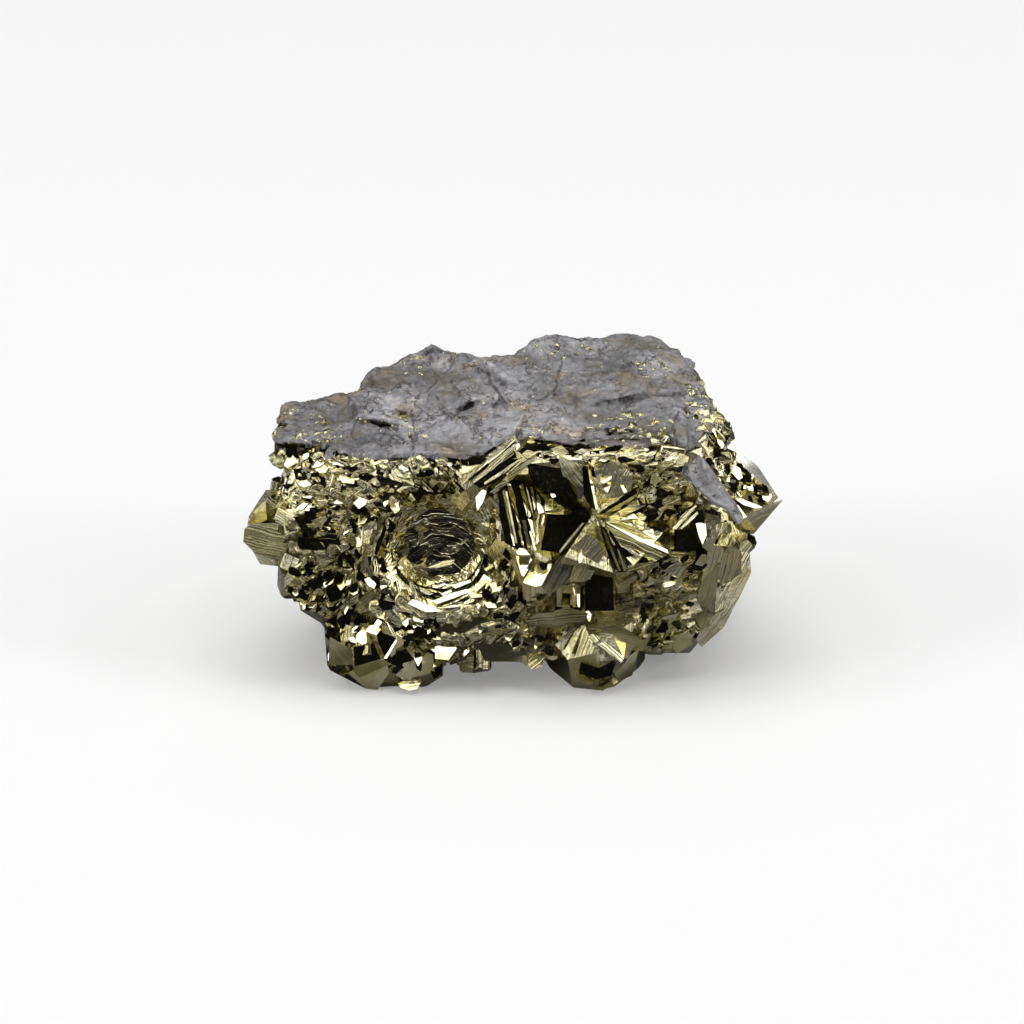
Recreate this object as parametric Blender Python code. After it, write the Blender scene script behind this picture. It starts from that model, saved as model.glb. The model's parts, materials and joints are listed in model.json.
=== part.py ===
"""A pyrite specimen: one intergrown cluster of brassy crystals under a dull grey crust.

Run it with blender --background --python part.py, or from Blender's text editor. Lengths in the tables
are millimetres and angles are degrees. +Z is up and -Y is the front. The origin is on the ground under
the middle of the cluster, which stands on its lowest crystals.
"""

import math
import random

import bmesh
import bpy
from mathutils import Euler, Matrix, Vector
from mathutils.bvhtree import BVHTree

NAME = "pyrite_specimen"
MM = 0.001

# The front of the cluster leans back, so that its crystals face forwards and up by this angle.
FRONT_RISE = math.radians(24.0)
RIGHT = Vector((1.0, 0.0, 0.0))
UP = Vector((0.0, math.sin(FRONT_RISE), math.cos(FRONT_RISE)))
FRONT = Vector((0.0, -math.cos(FRONT_RISE), math.sin(FRONT_RISE)))

# In the tables' own frame: the height at which the feet are worn flat, and the point that becomes the
# origin, on the ground under the middle of the bounding box.
GROUND = -0.5
DATUM = Vector((-0.053, 2.626, GROUND))
TRIM_HALF = 60.0        # half side of the block that wears the feet

# Broken masses of pyrite that carry the rest: centre, half sizes, turn about Z, seed, then cuts given
# as bearings in the front view and distances from the centre.
MASSES = (
    ("left_block", (-13.1, -0.4, 14.4), (6.2, 7.0, 6.6), 3, 11, ()),
    ("centre_left_block", (-5.5, 2.6, 11.8), (8.0, 8.8, 9.2), -4, 12, ()),
    ("centre_right_block", (6.0, 3.6, 12.4), (8.6, 9.6, 9.4), 5, 13, ((-45, 11.0),)),
    ("right_block", (13.5, 1.8, 12.2), (4.7, 8.0, 8.8), -6, 14, ((-38, 8.2),)),
    ("lower_left_block", (-11.2, 0.4, 6.8), (5.4, 6.2, 5.2), 8, 15, ((222, 5.2),)),
    ("lower_right_block", (13.0, 0.8, 7.4), (5.1, 6.4, 5.4), -4, 16, ((-40, 5.2),)),
    ("back_right_block", (8.2, 9.2, 13.8), (7.2, 6.2, 7.2), 6, 23, ()),
    ("back_left_block", (-7.6, 5.4, 13.6), (7.4, 5.8, 6.6), -12, 24, ()),
    ("lower_back_block", (0.5, 7.0, 6.6), (12.5, 5.6, 6.0), 0, 17, ((-45, 11.5), (225, 11.5))),
    ("lower_front_ledge", (-2.2, -2.6, 5.0), (6.4, 5.4, 2.8), 3, 18, ()),
    ("hollow_boss", (-6.1, -5.2, 11.2), (6.6, 3.4, 6.6), 0, 19, ((45, 7.9), (135, 7.9), (225, 7.9))),
    ("right_shoulder", (15.4, -0.8, 16.6), (2.8, 3.8, 2.8), 18, 20, ((42, 2.8),)),
    ("left_brow", (-6.5, -3.6, 18.4), (8.0, 3.8, 2.7), 2, 21, ()),
    ("right_brow", (7.6, -3.2, 18.8), (7.8, 3.9, 2.7), -3, 22, ()),
)

MASS_FACES = 20         # flat faces that break a mass's edges
MASS_FULLNESS = (0.84, 0.95)  # how far out those faces are, as a share of the mass's reach

# Plates of the grey crust: outline in plan, bottom and top height, slope of the top towards X and Y, seed.
CRUST_PLATES = (
    ("left_plate", ((-20.1, -5.4), (-15.2, -7.4), (-10.6, -8.0), (-8.6, -3.0), (-9.6, 6.6), (-13.8, 6.6),
     (-18.4, 4.8), (-20.3, 1.0)), 19.4, 21.1, (0.03, -0.05), 31),
    ("left_hump", ((-12.2, 2.2), (-7.4, -0.4), (-3.4, 2.0), (-3.6, 9.8), (-6.6, 12.2), (-9.8, 12.4),
     (-12.6, 9.2)), 18.6, 22.2, (0.03, 0.02), 32),
    ("middle_plate", ((-10.6, -8.0), (-3.6, -8.4), (1.8, -8.2), (3.6, -2.0), (2.6, 6.0), (-8.8, 4.0)),
     19.8, 21.8, (0.04, -0.01), 33),
    ("right_front_plate", ((0.4, -8.2), (7.0, -8.9), (14.0, -8.7), (16.9, -6.2), (17.6, 1.6), (16.4, 5.0),
     (3.6, 5.0), (0.6, -2.0)), 20.2, 22.4, (0.00, 0.01), 34),
    ("right_back_plate", ((0.4, 2.0), (16.9, 2.0), (16.2, 8.0), (14.8, 12.8), (12.4, 15.4), (9.4, 16.4),
     (2.8, 15.8), (0.2, 12.8)), 20.0, 22.9, (-0.01, -0.02), 35),
    ("back_middle_plate", ((-6.8, 2.0), (2.2, 2.0), (2.0, 13.4), (-1.6, 12.2), (-5.4, 11.2)),
     17.8, 22.3, (0.03, 0.0), 36),
)

PLATE_FACES = 26
PLATE_FULLNESS = (0.93, 0.985)
PLATE_HALF = 30.0       # half side of the block that a plate is cut from
PLATE_MARGIN = 1.0      # the block stands this far above the top's middle, so that the top can slope

# Low chips of crust scattered on the plates.
CHIP_COUNT = 34
CHIP_RADII = (1.2, 2.7)
CHIP_RISE = (0.2, 0.55)
CHIP_ROOT = 0.8         # how deep a chip sits in its plate
CHIP_LEAN = (3, -3)
CHIP_AREA = ((-18.0, 14.5), (-6.5, 11.5))
CHIP_BACK = (8.0, 0.25)  # chips stay in front of this line: Y at the middle, and its slope to the right
CHIP_LOWEST = 19.0
CHIP_FACES = 14
CHIP_SEED = 8
CHIP_SHAPE_SEED = 400

# A tongue of the crust runs down the right of the front: centre, half sizes, lean in the front view.
TONGUE = ((16.3, -6.7, 17.3), (1.3, 1.4, 5.6), -27.0)
TONGUE_FACES = (((-0.35, -1.0, 0.0), 1.1), ((0.9, -1.0, 0.0), 1.05))
TONGUE_SLOPE = -14

# The star: blades that grow out from one point. Each has the bearings of its two sides, its reach, and
# the tilt, bearing and distance of its face.
STAR_CENTRE = Vector((6.95, -5.9, 15.1))
STAR_BACK = 3.4         # how deep the blades reach behind the centre
BLADE_SIDE = 0.12       # a blade's sides pass this far outside the centre
BLADE_BEVEL = (62, 0.96)  # tilt of the bevel at a blade's end, and its share of the reach
BLADE_END_TILT = 84
STAR_BLADES = (
    ("golden_block", 36, 95, 4.6, (24, 245, 2.6)),
    ("bright_edge", 97, 104, 4.4, (38, 190, 2.4)),
    ("olive_face", 106, 136, 5.6, (16, 330, 2.2)),
    ("lower_golden_face", 236, 286, 6.2, (30, 40, 2.5)),
    ("lower_needle", 291, 303, 6.0, (34, 200, 2.4)),
    ("striated_blade", 308, 344, 6.8, (22, 95, 2.3)),
    ("white_blade", 350, 372, 5.0, (40, 80, 2.2)),
    ("upper_needle", 374, 392, 4.8, (34, 110, 2.2)),
)

# Large crystals cut to their own faces: heart, depth behind the heart, then each face's tilt from the
# front, bearing in the front view and distance from the heart.
CUT_CRYSTALS = (
    ("star_pentagon", (1.9, -6.9, 14.6), 4.0, (
        (25, 170, 2.60), (35, -10, 2.62), (45, -95, 3.60), (50, -60, 3.73), (50, 55, 3.64),
        (35, 50, 3.15), (70, 180, 3.50), (60, 110, 3.90), (60, 220, 3.50), (85, 0, 4.2))),
    ("upper_left_blade", (-1.6, -7.3, 20.0), 2.4, (
        (22, 128, 1.35), (35, -52, 1.25), (85, 127, 1.2), (85, -53, 1.1), (70, 38, 3.3), (70, 218, 3.3))),
    ("striped_cube", (4.85, -7.2, 8.1), 1.5, (
        (12, 100, 1.5), (78, 10, 1.0), (78, 190, 1.0), (70, 95, 1.3), (70, 275, 1.3))),
    ("white_wedge", (2.6, -7.0, 7.2), 2.0, (
        (33, 95, 1.1), (60, 275, 0.9), (70, 150, 1.7), (70, 20, 1.6))),
    ("olive_plate", (3.6, -6.2, 5.4), 4.0, (
        (40, 110, 1.7), (50, 285, 1.3), (70, 190, 3.6), (70, 10, 3.4), (75, 280, 1.6))),
    ("black_cube", (15.1, -7.8, 14.8), 1.7, (
        (6, 190, 1.5), (84, 5, 1.3), (84, 185, 1.3), (84, 95, 1.5), (84, 275, 1.5))),
    ("golden_cheek", (17.0, -5.4, 12.7), 3.0, (
        (38, 20, 2.1), (30, 100, 2.4), (50, 300, 2.2), (60, 200, 1.9), (80, 60, 2.6), (85, 0, 2.5))),
    ("foot_facet", (-12.5, -5.6, 2.6), 3.6, (
        (22, 160, 3.0), (34, 5, 2.9), (44, 280, 2.8), (66, 92, 2.7), (75, 185, 2.6), (70, 225, 2.7),
        (85, 0, 3.0))),
    ("front_foot", (7.2, -5.9, 3.7), 3.8, (
        (30, 75, 3.0), (36, 165, 3.2), (34, -20, 3.3), (52, 255, 3.6), (55, 300, 3.5), (75, 210, 3.7),
        (80, 0, 3.6), (70, 120, 3.4), (80, 180, 3.7), (75, -35, 3.6))),
    ("lower_right_knob", (13.9, -3.8, 4.5), 3.4, (
        (30, 300, 2.8), (38, 200, 2.9), (50, 20, 2.8), (48, 100, 2.9), (80, -40, 2.6), (85, 0, 2.8),
        (85, 270, 2.9), (85, 225, 2.9), (85, 180, 3.0), (85, 90, 3.2))),
)

# Crystals of a standard form: form, centre, radius, turns about X, Y and Z.
FORM_CRYSTALS = (
    ("right_tip", "cube", (17.4, 0.4, 14.9), 3.4, (0, 45, 12)),
    ("nose", "pyritohedron", (-18.9, -2.6, 12.2), 3.2, (12, 20, 40)),
    ("nose_shelf", "pyritohedron", (-18.0, -0.8, 13.4), 2.3, (30, 5, 15)),
    ("nose_chin", "modified_cube", (-17.6, -3.6, 8.9), 1.6, (20, 35, 10)),
    ("left_flank", "pyritohedron", (-15.8, -3.8, 6.6), 2.2, (5, 40, 25)),
    ("left_heel", "modified_cube", (-13.9, -4.0, 4.4), 1.9, (35, 10, 50)),
    ("rhomb", "modified_cube", (-10.2, -7.2, 5.0), 1.7, (30, 42, 8)),
    ("second_foot", "pyritohedron", (-8.1, -6.0, 2.0), 2.3, (15, 30, 5)),
    ("golden_grain", "cube", (-5.8, -7.6, 3.7), 0.9, (20, 25, 30)),
    ("grey_grain", "pyritohedron", (-12.3, -6.9, 7.6), 1.1, (0, 15, 45)),
    ("ledge_grain", "modified_cube", (1.7, -7.0, 2.9), 1.2, (25, 35, 15)),
    ("small_grain", "cube", (2.0, -7.4, 5.2), 0.8, (40, 20, 10)),
    ("foot_neighbour", "modified_cube", (10.9, -5.8, 4.6), 2.0, (15, 25, 60)),
    ("golden_under_cube", "pyritohedron", (13.4, -7.0, 11.6), 1.9, (25, 15, 35)),
    ("back_foot_left", "pyritohedron", (-9.5, 8.0, 1.9), 2.8, (15, 40, 20)),
    ("back_foot_right", "modified_cube", (9.5, 9.2, 1.8), 2.7, (30, 20, 65)),
    ("top_knob", "pyritohedron", (-7.2, 9.8, 21.2), 2.4, (20, 10, 30)),
)

# The round hollow in the front: ledges that step down into the boss like a bowl.
HOLLOW_MOUTH = Vector((-6.1, -8.4, 11.6))
HOLLOW_LEDGES = 6
HOLLOW_RADIUS = 5.8
HOLLOW_STEP_IN = 0.82
HOLLOW_FIRST_DEPTH = 0.4
HOLLOW_STEP_DOWN = 0.62
HOLLOW_FRONT = 4.0      # the cut starts this far in front of the mouth
HOLLOW_UNEVEN = (0.94, 1.04)
HOLLOW_SIDES = 15
HOLLOW_AXIS = (10, 265)  # tilt and bearing of the hollow's axis
HOLLOW_SHIFT = 0.32 * UP - 0.10 * RIGHT  # each ledge sits this much off the one before
HOLLOW_SEED = 70

# Smaller crystals that stud the rest of the cluster: aimed at it from a spiral on a rounded box round it.
STUD_COUNT = 310
STUD_MIDDLE = Vector((-0.5, 3.0, 10.5))
STUD_SPREAD = Vector((20.0, 11.0, 11.0))
STUD_RADII = (0.9, 2.3)
STUD_RISE = 0.35
STUD_TOP = 18.6         # studs stop at this height in front
STUD_TOP_BEHIND = 20.6
STUD_BEHIND = 6.0
STUD_HIGH = 15.0        # above this height studs are kept to the small radius, and off the sides
STUD_FLOOR = 1.6
STUD_LOW = 6.0          # in front, studs below this height are too
STUD_SMALL = 1.15
STUD_END = 15.0         # beyond this far to the side, no studs above that height
STUD_REACH = 30.0       # rays start this far outside the rounded box
STAR_CLEAR = 8.4        # no stud grows this near the star or the hollow
HOLLOW_CLEAR = 7.4
STUD_SEED = 5


def facing(tilt, bearing):
    """Unit normal that leans from the front by tilt, towards a bearing: 0 is right, 90 is up."""
    lean, turn = math.radians(tilt), math.radians(bearing)
    return math.cos(lean) * FRONT + math.sin(lean) * (math.cos(turn) * RIGHT + math.sin(turn) * UP)


def turned(degrees):
    """The rotation of turns about X, Y and Z."""
    return Euler([math.radians(d) for d in degrees]).to_matrix().to_4x4()


def cut_flat(bm, point, normal):
    """Cuts a convex solid with a plane, drops what lies outside it and closes the cut."""
    geometry = bm.verts[:] + bm.edges[:] + bm.faces[:]
    cut = bmesh.ops.bisect_plane(
        bm, geom=geometry, dist=1e-6, plane_co=point, plane_no=normal, clear_outer=True
    )
    rim = [e for e in cut["geom_cut"] if isinstance(e, bmesh.types.BMEdge)]
    if len(rim) > 2:
        bmesh.ops.edgeloop_fill(bm, edges=rim)


def convex_solid(planes, half):
    """What is left of a block of these half sizes inside planes given as (normal, distance)."""
    bm = bmesh.new()
    bmesh.ops.create_cube(bm, size=2.0)
    bmesh.ops.scale(bm, vec=half, verts=bm.verts)
    for normal, distance in planes:
        cut_flat(bm, normal * distance, normal)
    return bm


def form_faces(form):
    """The faces of a pyrite crystal form, as (normal, distance) for a radius of 1."""
    cube = [Vector(n) for s in (1, -1) for n in ((s, 0, 0), (0, s, 0), (0, 0, s))]
    pentagons = [
        Vector(n).normalized()
        for s in (1, -1)
        for t in (1, -1)
        for n in ((s, 2 * t, 0), (0, s, 2 * t), (2 * t, 0, s))
    ]
    if form == "cube":
        return [(n, 1.0) for n in cube]
    if form == "modified_cube":
        return [(n, 0.94) for n in cube] + [(n, 1.1) for n in pentagons]
    return [(n, 1.0) for n in pentagons]


def placed(bm, name, matrix, group):
    """Moves a solid into place and gives it an object in a collection."""
    bmesh.ops.transform(bm, matrix=matrix, verts=bm.verts)
    mesh = bpy.data.meshes.new(name)
    bm.to_mesh(mesh)
    bm.free()
    solid = bpy.data.objects.new(name, mesh)
    group.objects.link(solid)
    return solid


def break_edges(bm, seed, faces, fullness):
    """Breaks the edges and corners off a convex solid about the origin with flat faces."""
    rng = random.Random(seed)
    for _ in range(faces):
        normal = Vector([rng.gauss(0.0, 1.0) for _ in range(3)]).normalized()
        reach = max(normal.dot(v.co) for v in bm.verts)
        cut_flat(bm, normal * reach * rng.uniform(*fullness), normal)


def mass(name, centre, half, turn, seed, cuts, group):
    """A rough block of pyrite."""
    bm = convex_solid([(facing(90, bearing), distance) for bearing, distance in cuts], half)
    break_edges(bm, seed, MASS_FACES, MASS_FULLNESS)
    return placed(bm, name, Matrix.Translation(centre) @ turned((0, 0, turn)), group)


def crust_plate(name, outline, bottom, top, slope, seed, group):
    """A plate of crust: a prism with a sloping top and broken edges."""
    middle = sum((Vector((x, y, 0.0)) for x, y in outline), Vector()) / len(outline)
    middle.z = (bottom + top) / 2
    up = Vector((-slope[0], -slope[1], 1.0)).normalized()
    planes = [(up, (top - bottom) / 2)]
    for (x0, y0), (x1, y1) in zip(outline, outline[1:] + outline[:1]):
        side = Vector((y1 - y0, x0 - x1, 0.0)).normalized()
        planes.append((side, side.dot(Vector((x0, y0, middle.z)) - middle)))
    planes.append((Vector((0.0, 0.0, -1.0)), (top - bottom) / 2))
    bm = convex_solid(planes, (PLATE_HALF, PLATE_HALF, (top - bottom) / 2 + PLATE_MARGIN))
    break_edges(bm, seed, PLATE_FACES, PLATE_FULLNESS)
    return placed(bm, name, Matrix.Translation(middle), group)


def surface_point(tree, start, way):
    """Where a ray meets the cluster, and the direction the surface faces there."""
    point, normal, _, _ = tree.ray_cast(start, way)
    return point, normal


def chips(tree, group):
    """Low flat chips on the top of the crust."""
    rng = random.Random(CHIP_SEED)
    (left, right), (front, back) = CHIP_AREA
    for k in range(CHIP_COUNT):
        above = Vector((rng.uniform(left, right), rng.uniform(front, back), TRIM_HALF))
        radius = rng.uniform(*CHIP_RADII)
        rise = rng.uniform(*CHIP_RISE)
        turn = rng.uniform(0, 360)
        point, _ = surface_point(tree, above, Vector((0.0, 0.0, -1.0)))
        if point is None or point.z < CHIP_LOWEST or point.y > CHIP_BACK[0] + CHIP_BACK[1] * point.x:
            continue
        bm = convex_solid([], (radius * 1.5, radius, rise + CHIP_ROOT))
        break_edges(bm, CHIP_SHAPE_SEED + k, CHIP_FACES, MASS_FULLNESS)
        sunk = Matrix.Translation(point - Vector((0.0, 0.0, CHIP_ROOT)))
        placed(bm, f"chip_{k}", sunk @ turned((*CHIP_LEAN, turn)), group)


def form_crystal(name, form, centre, radius, turns, group):
    """A crystal of a standard form."""
    bm = convex_solid([(n, d * radius) for n, d in form_faces(form)], [1.5 * radius] * 3)
    return placed(bm, name, Matrix.Translation(centre) @ turned(turns), group)


def cut_crystal(name, heart, back, faces, group):
    """A crystal whose faces lean from the front."""
    planes = [(facing(tilt, bearing), distance) for tilt, bearing, distance in faces]
    planes.append((-FRONT, back))
    return placed(convex_solid(planes, [3.0 * back] * 3), name, Matrix.Translation(heart), group)


def star_blade(name, start, end, reach, face, group):
    """A blade of the star: a wedge between two bearings, closed at its reach by a sloping end."""
    middle = (start + end) / 2
    tilt, bearing, distance = face
    planes = [
        (facing(90, start - 90), BLADE_SIDE),
        (facing(90, end + 90), BLADE_SIDE),
        (facing(tilt, bearing), distance),
        (facing(BLADE_BEVEL[0], middle), reach * BLADE_BEVEL[1]),
        (facing(BLADE_END_TILT, middle), reach),
        (-FRONT, STAR_BACK),
    ]
    bm = convex_solid(planes, [reach * 1.5] * 3)
    return placed(bm, "star_" + name, Matrix.Translation(STAR_CENTRE), group)


def hollow_ledge(index, group):
    """One ledge of the hollow: an uneven disc that reaches from the front down to its depth."""
    rng = random.Random(HOLLOW_SEED + index)
    radius = HOLLOW_RADIUS - index * HOLLOW_STEP_IN
    depth = HOLLOW_FIRST_DEPTH + index * HOLLOW_STEP_DOWN
    axis = facing(*HOLLOW_AXIS)
    rise = RIGHT.cross(axis).normalized()
    centre = HOLLOW_MOUTH + index * HOLLOW_SHIFT
    bm = bmesh.new()
    ring = []
    for k in range(HOLLOW_SIDES):
        angle = 2 * math.pi * k / HOLLOW_SIDES
        out = radius * rng.uniform(*HOLLOW_UNEVEN)
        ring.append(bm.verts.new(centre + out * (math.cos(angle) * RIGHT + math.sin(angle) * rise)))
    face = bm.faces.new(ring)
    bmesh.ops.translate(bm, vec=axis * HOLLOW_FRONT, verts=ring)
    deeper = bmesh.ops.extrude_face_region(bm, geom=[face])
    moved = [v for v in deeper["geom"] if isinstance(v, bmesh.types.BMVert)]
    bmesh.ops.translate(bm, vec=axis * -(HOLLOW_FRONT + depth), verts=moved)
    bmesh.ops.recalc_face_normals(bm, faces=bm.faces)
    return placed(bm, f"hollow_ledge_{index}", Matrix.Identity(4), group)


def studs(tree, group):
    """Crystals spread over the cluster, clear of the crust, the star and the hollow."""
    rng = random.Random(STUD_SEED)
    golden = math.pi * (3.0 - math.sqrt(5.0))
    for k in range(STUD_COUNT):
        height = 1.0 - 2.0 * (k + 0.5) / STUD_COUNT
        ring = math.sqrt(1.0 - height * height)
        way = Vector((ring * math.cos(golden * k), ring * math.sin(golden * k), height))
        radius = rng.uniform(*STUD_RADII) * rng.uniform(0.6, 1.0)
        turns = [rng.uniform(0, 360) for _ in range(3)]
        form = rng.choice(("cube", "modified_cube", "pyritohedron", "pyritohedron"))
        boxy = sum(abs(c) ** 4 for c in way) ** 0.25
        start = STUD_MIDDLE + Vector([c / boxy * h for c, h in zip(way, STUD_SPREAD)])
        aim = Vector([c**3 / h for c, h in zip(way, STUD_SPREAD)]).normalized()
        point, normal = surface_point(tree, start + aim * STUD_REACH, -aim)
        if point is None or point.z < STUD_FLOOR:
            continue
        if point.z > (STUD_TOP if point.y < STUD_BEHIND else STUD_TOP_BEHIND) - radius:
            continue
        if point.y < 0 and (point - STAR_CENTRE).length < STAR_CLEAR:
            continue
        if point.y < 0 and (point - HOLLOW_MOUTH).length < HOLLOW_CLEAR:
            continue
        if point.z > STUD_HIGH and abs(point.x) > STUD_END:
            continue
        if point.z > STUD_HIGH or (point.y < 0 and point.z < STUD_LOW):
            radius = min(radius, STUD_SMALL)
        form_crystal(f"stud_{k}", form, point - normal * radius * STUD_RISE, radius, turns, group)


def tongue(group):
    """The strip of crust that hangs down the front, a bar with one broad and one narrow face."""
    centre, half, lean = TONGUE
    bm = convex_solid([(Vector(n).normalized(), distance) for n, distance in TONGUE_FACES], half)
    return placed(bm, "crust_tongue", Matrix.Translation(centre) @ turned((TONGUE_SLOPE, lean, 0)), group)


def fill_pockets(mesh):
    """Fills hollows sealed inside the cluster: keeps only its outer skin."""
    bm = bmesh.new()
    bm.from_mesh(mesh)
    left = set(bm.verts)
    skins = []
    while left:
        skin = set()
        edge = [left.pop()]
        while edge:
            vert = edge.pop()
            skin.add(vert)
            near = {e.other_vert(vert) for e in vert.link_edges} & left
            left -= near
            edge.extend(near)
        skins.append(skin)
    skins.sort(key=len)
    bmesh.ops.delete(bm, geom=[v for skin in skins[:-1] for v in skin], context="VERTS")
    bm.to_mesh(mesh)
    bm.free()


def joined(base, group, operation):
    """The base with a Boolean against every solid of a group, as a new object."""
    step = base.modifiers.new(operation.lower(), "BOOLEAN")
    step.operation = operation
    step.operand_type = "COLLECTION"
    step.collection = group
    bpy.context.view_layer.update()
    evaluated = base.evaluated_get(bpy.context.evaluated_depsgraph_get())
    mesh = bpy.data.meshes.new_from_object(evaluated)
    bpy.data.objects.remove(base)
    result = bpy.data.objects.new(NAME, mesh)
    bpy.context.scene.collection.objects.link(result)
    return result


def clear_group(group):
    """Removes the working solids once they are part of the cluster."""
    for solid in list(group.objects):
        bpy.data.objects.remove(solid)
    bpy.data.collections.remove(group)


def new_group(name):
    """A collection for working solids."""
    group = bpy.data.collections.new(name)
    bpy.context.scene.collection.children.link(group)
    return group


def pyrite_material():
    """Pale brass with a metallic shine."""
    material = bpy.data.materials.new("pyrite")
    material.use_nodes = True
    shader = material.node_tree.nodes["Principled BSDF"]
    shader.inputs["Base Color"].default_value = (0.56, 0.50, 0.27, 1.0)
    shader.inputs["Metallic"].default_value = 1.0
    shader.inputs["Roughness"].default_value = 0.2
    return material


def tree_of(solid):
    """A search tree over the faces of a solid."""
    mesh = solid.data
    return BVHTree.FromPolygons([v.co for v in mesh.vertices], [p.vertices[:] for p in mesh.polygons])


def build():
    for leftover in list(bpy.data.objects):
        bpy.data.objects.remove(leftover)

    body = new_group("masses_and_crust")
    for entry in MASSES:
        mass(*entry, group=body)
    for entry in CRUST_PLATES:
        crust_plate(*entry, group=body)
    tongue(body)
    base = body.objects[0]
    body.objects.unlink(base)
    bpy.context.scene.collection.objects.link(base)
    cluster = joined(base, body, "UNION")
    clear_group(body)
    tree = tree_of(cluster)

    hollow = new_group("hollow")
    for index in range(HOLLOW_LEDGES):
        hollow_ledge(index, hollow)
    cluster = joined(cluster, hollow, "DIFFERENCE")
    clear_group(hollow)

    crystals = new_group("crystals")
    for entry in FORM_CRYSTALS:
        form_crystal(*entry, group=crystals)
    for entry in CUT_CRYSTALS:
        cut_crystal(*entry, group=crystals)
    for entry in STAR_BLADES:
        star_blade(*entry, group=crystals)
    studs(tree, crystals)
    chips(tree, crystals)
    cluster = joined(cluster, crystals, "UNION")
    clear_group(crystals)

    ground = new_group("ground")
    bm = convex_solid([], [TRIM_HALF] * 3)
    placed(bm, "below_ground", Matrix.Translation((0.0, 0.0, GROUND - TRIM_HALF)), ground)
    cluster = joined(cluster, ground, "DIFFERENCE")
    clear_group(ground)

    fill_pockets(cluster.data)
    cluster.data.transform(Matrix.Scale(MM, 4) @ Matrix.Translation(-DATUM))
    cluster.data.materials.append(pyrite_material())
    specimen = bpy.data.collections.new("pyrite specimen")
    bpy.context.scene.collection.children.link(specimen)
    bpy.context.scene.collection.objects.unlink(cluster)
    specimen.objects.link(cluster)


build()
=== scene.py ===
"""The looks of the pyrite specimen: its crystals, its grains, its grey crust, the light and the camera.

Lengths in the tables are millimetres in the tables' own frame, the same as in the part's source, and
angles are degrees. DATUM is the point of that frame that is the model's origin. The front view is what
the camera sees: RIGHT and UP span it, and FRONT points out of it.
"""

import json
import math
import random

import bmesh
import bpy
from mathutils import Euler, Matrix, Vector, noise
from mathutils.bvhtree import BVHTree
from mathutils.geometry import intersect_point_line

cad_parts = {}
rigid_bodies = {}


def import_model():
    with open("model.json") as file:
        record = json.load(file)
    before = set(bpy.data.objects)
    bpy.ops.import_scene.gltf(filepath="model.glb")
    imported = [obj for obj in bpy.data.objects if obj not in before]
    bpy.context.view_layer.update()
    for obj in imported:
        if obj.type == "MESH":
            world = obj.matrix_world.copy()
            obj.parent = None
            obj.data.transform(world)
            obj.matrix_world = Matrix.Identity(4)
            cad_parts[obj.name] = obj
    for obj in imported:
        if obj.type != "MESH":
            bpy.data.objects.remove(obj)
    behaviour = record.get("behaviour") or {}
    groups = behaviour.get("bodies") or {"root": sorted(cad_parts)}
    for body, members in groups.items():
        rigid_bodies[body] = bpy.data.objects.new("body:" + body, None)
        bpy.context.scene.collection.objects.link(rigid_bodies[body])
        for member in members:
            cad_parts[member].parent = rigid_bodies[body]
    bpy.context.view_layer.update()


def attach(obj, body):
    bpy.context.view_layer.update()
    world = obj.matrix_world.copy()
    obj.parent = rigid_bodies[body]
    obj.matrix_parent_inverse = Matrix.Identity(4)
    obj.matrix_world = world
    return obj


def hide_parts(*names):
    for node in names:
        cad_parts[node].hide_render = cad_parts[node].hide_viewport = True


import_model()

NODE = "pyrite_specimen"
MM = 0.001
FRONT_RISE = math.radians(24.0)
RIGHT = Vector((1.0, 0.0, 0.0))
UP = Vector((0.0, math.sin(FRONT_RISE), math.cos(FRONT_RISE)))
FRONT = Vector((0.0, -math.cos(FRONT_RISE), math.sin(FRONT_RISE)))

GROUND = -0.5
DATUM = Vector((-0.053, 2.626, GROUND))
TRIM_HALF = 60.0

# Every face of the pyrite carries its place across its striations, and a number: its kind plus a share
# of its own between 0 and 1.
LINES = "lines"
PAINTED_CRACK_SHADE = "cracked"
PALE = "pale"
CLEAN, LINED, ROUGH, RINGED = 0, 1, 2, 3

# The camera: where it looks, how far off it is, and its lens on a 36 mm sensor.
VIEW_MIDDLE = Vector((0.0, 2.0, 11.8))
VIEW_DISTANCE = 420.0
VIEW_LENS = 170.45

# ---------------------------------------------------------------------------------------- the cluster

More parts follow.
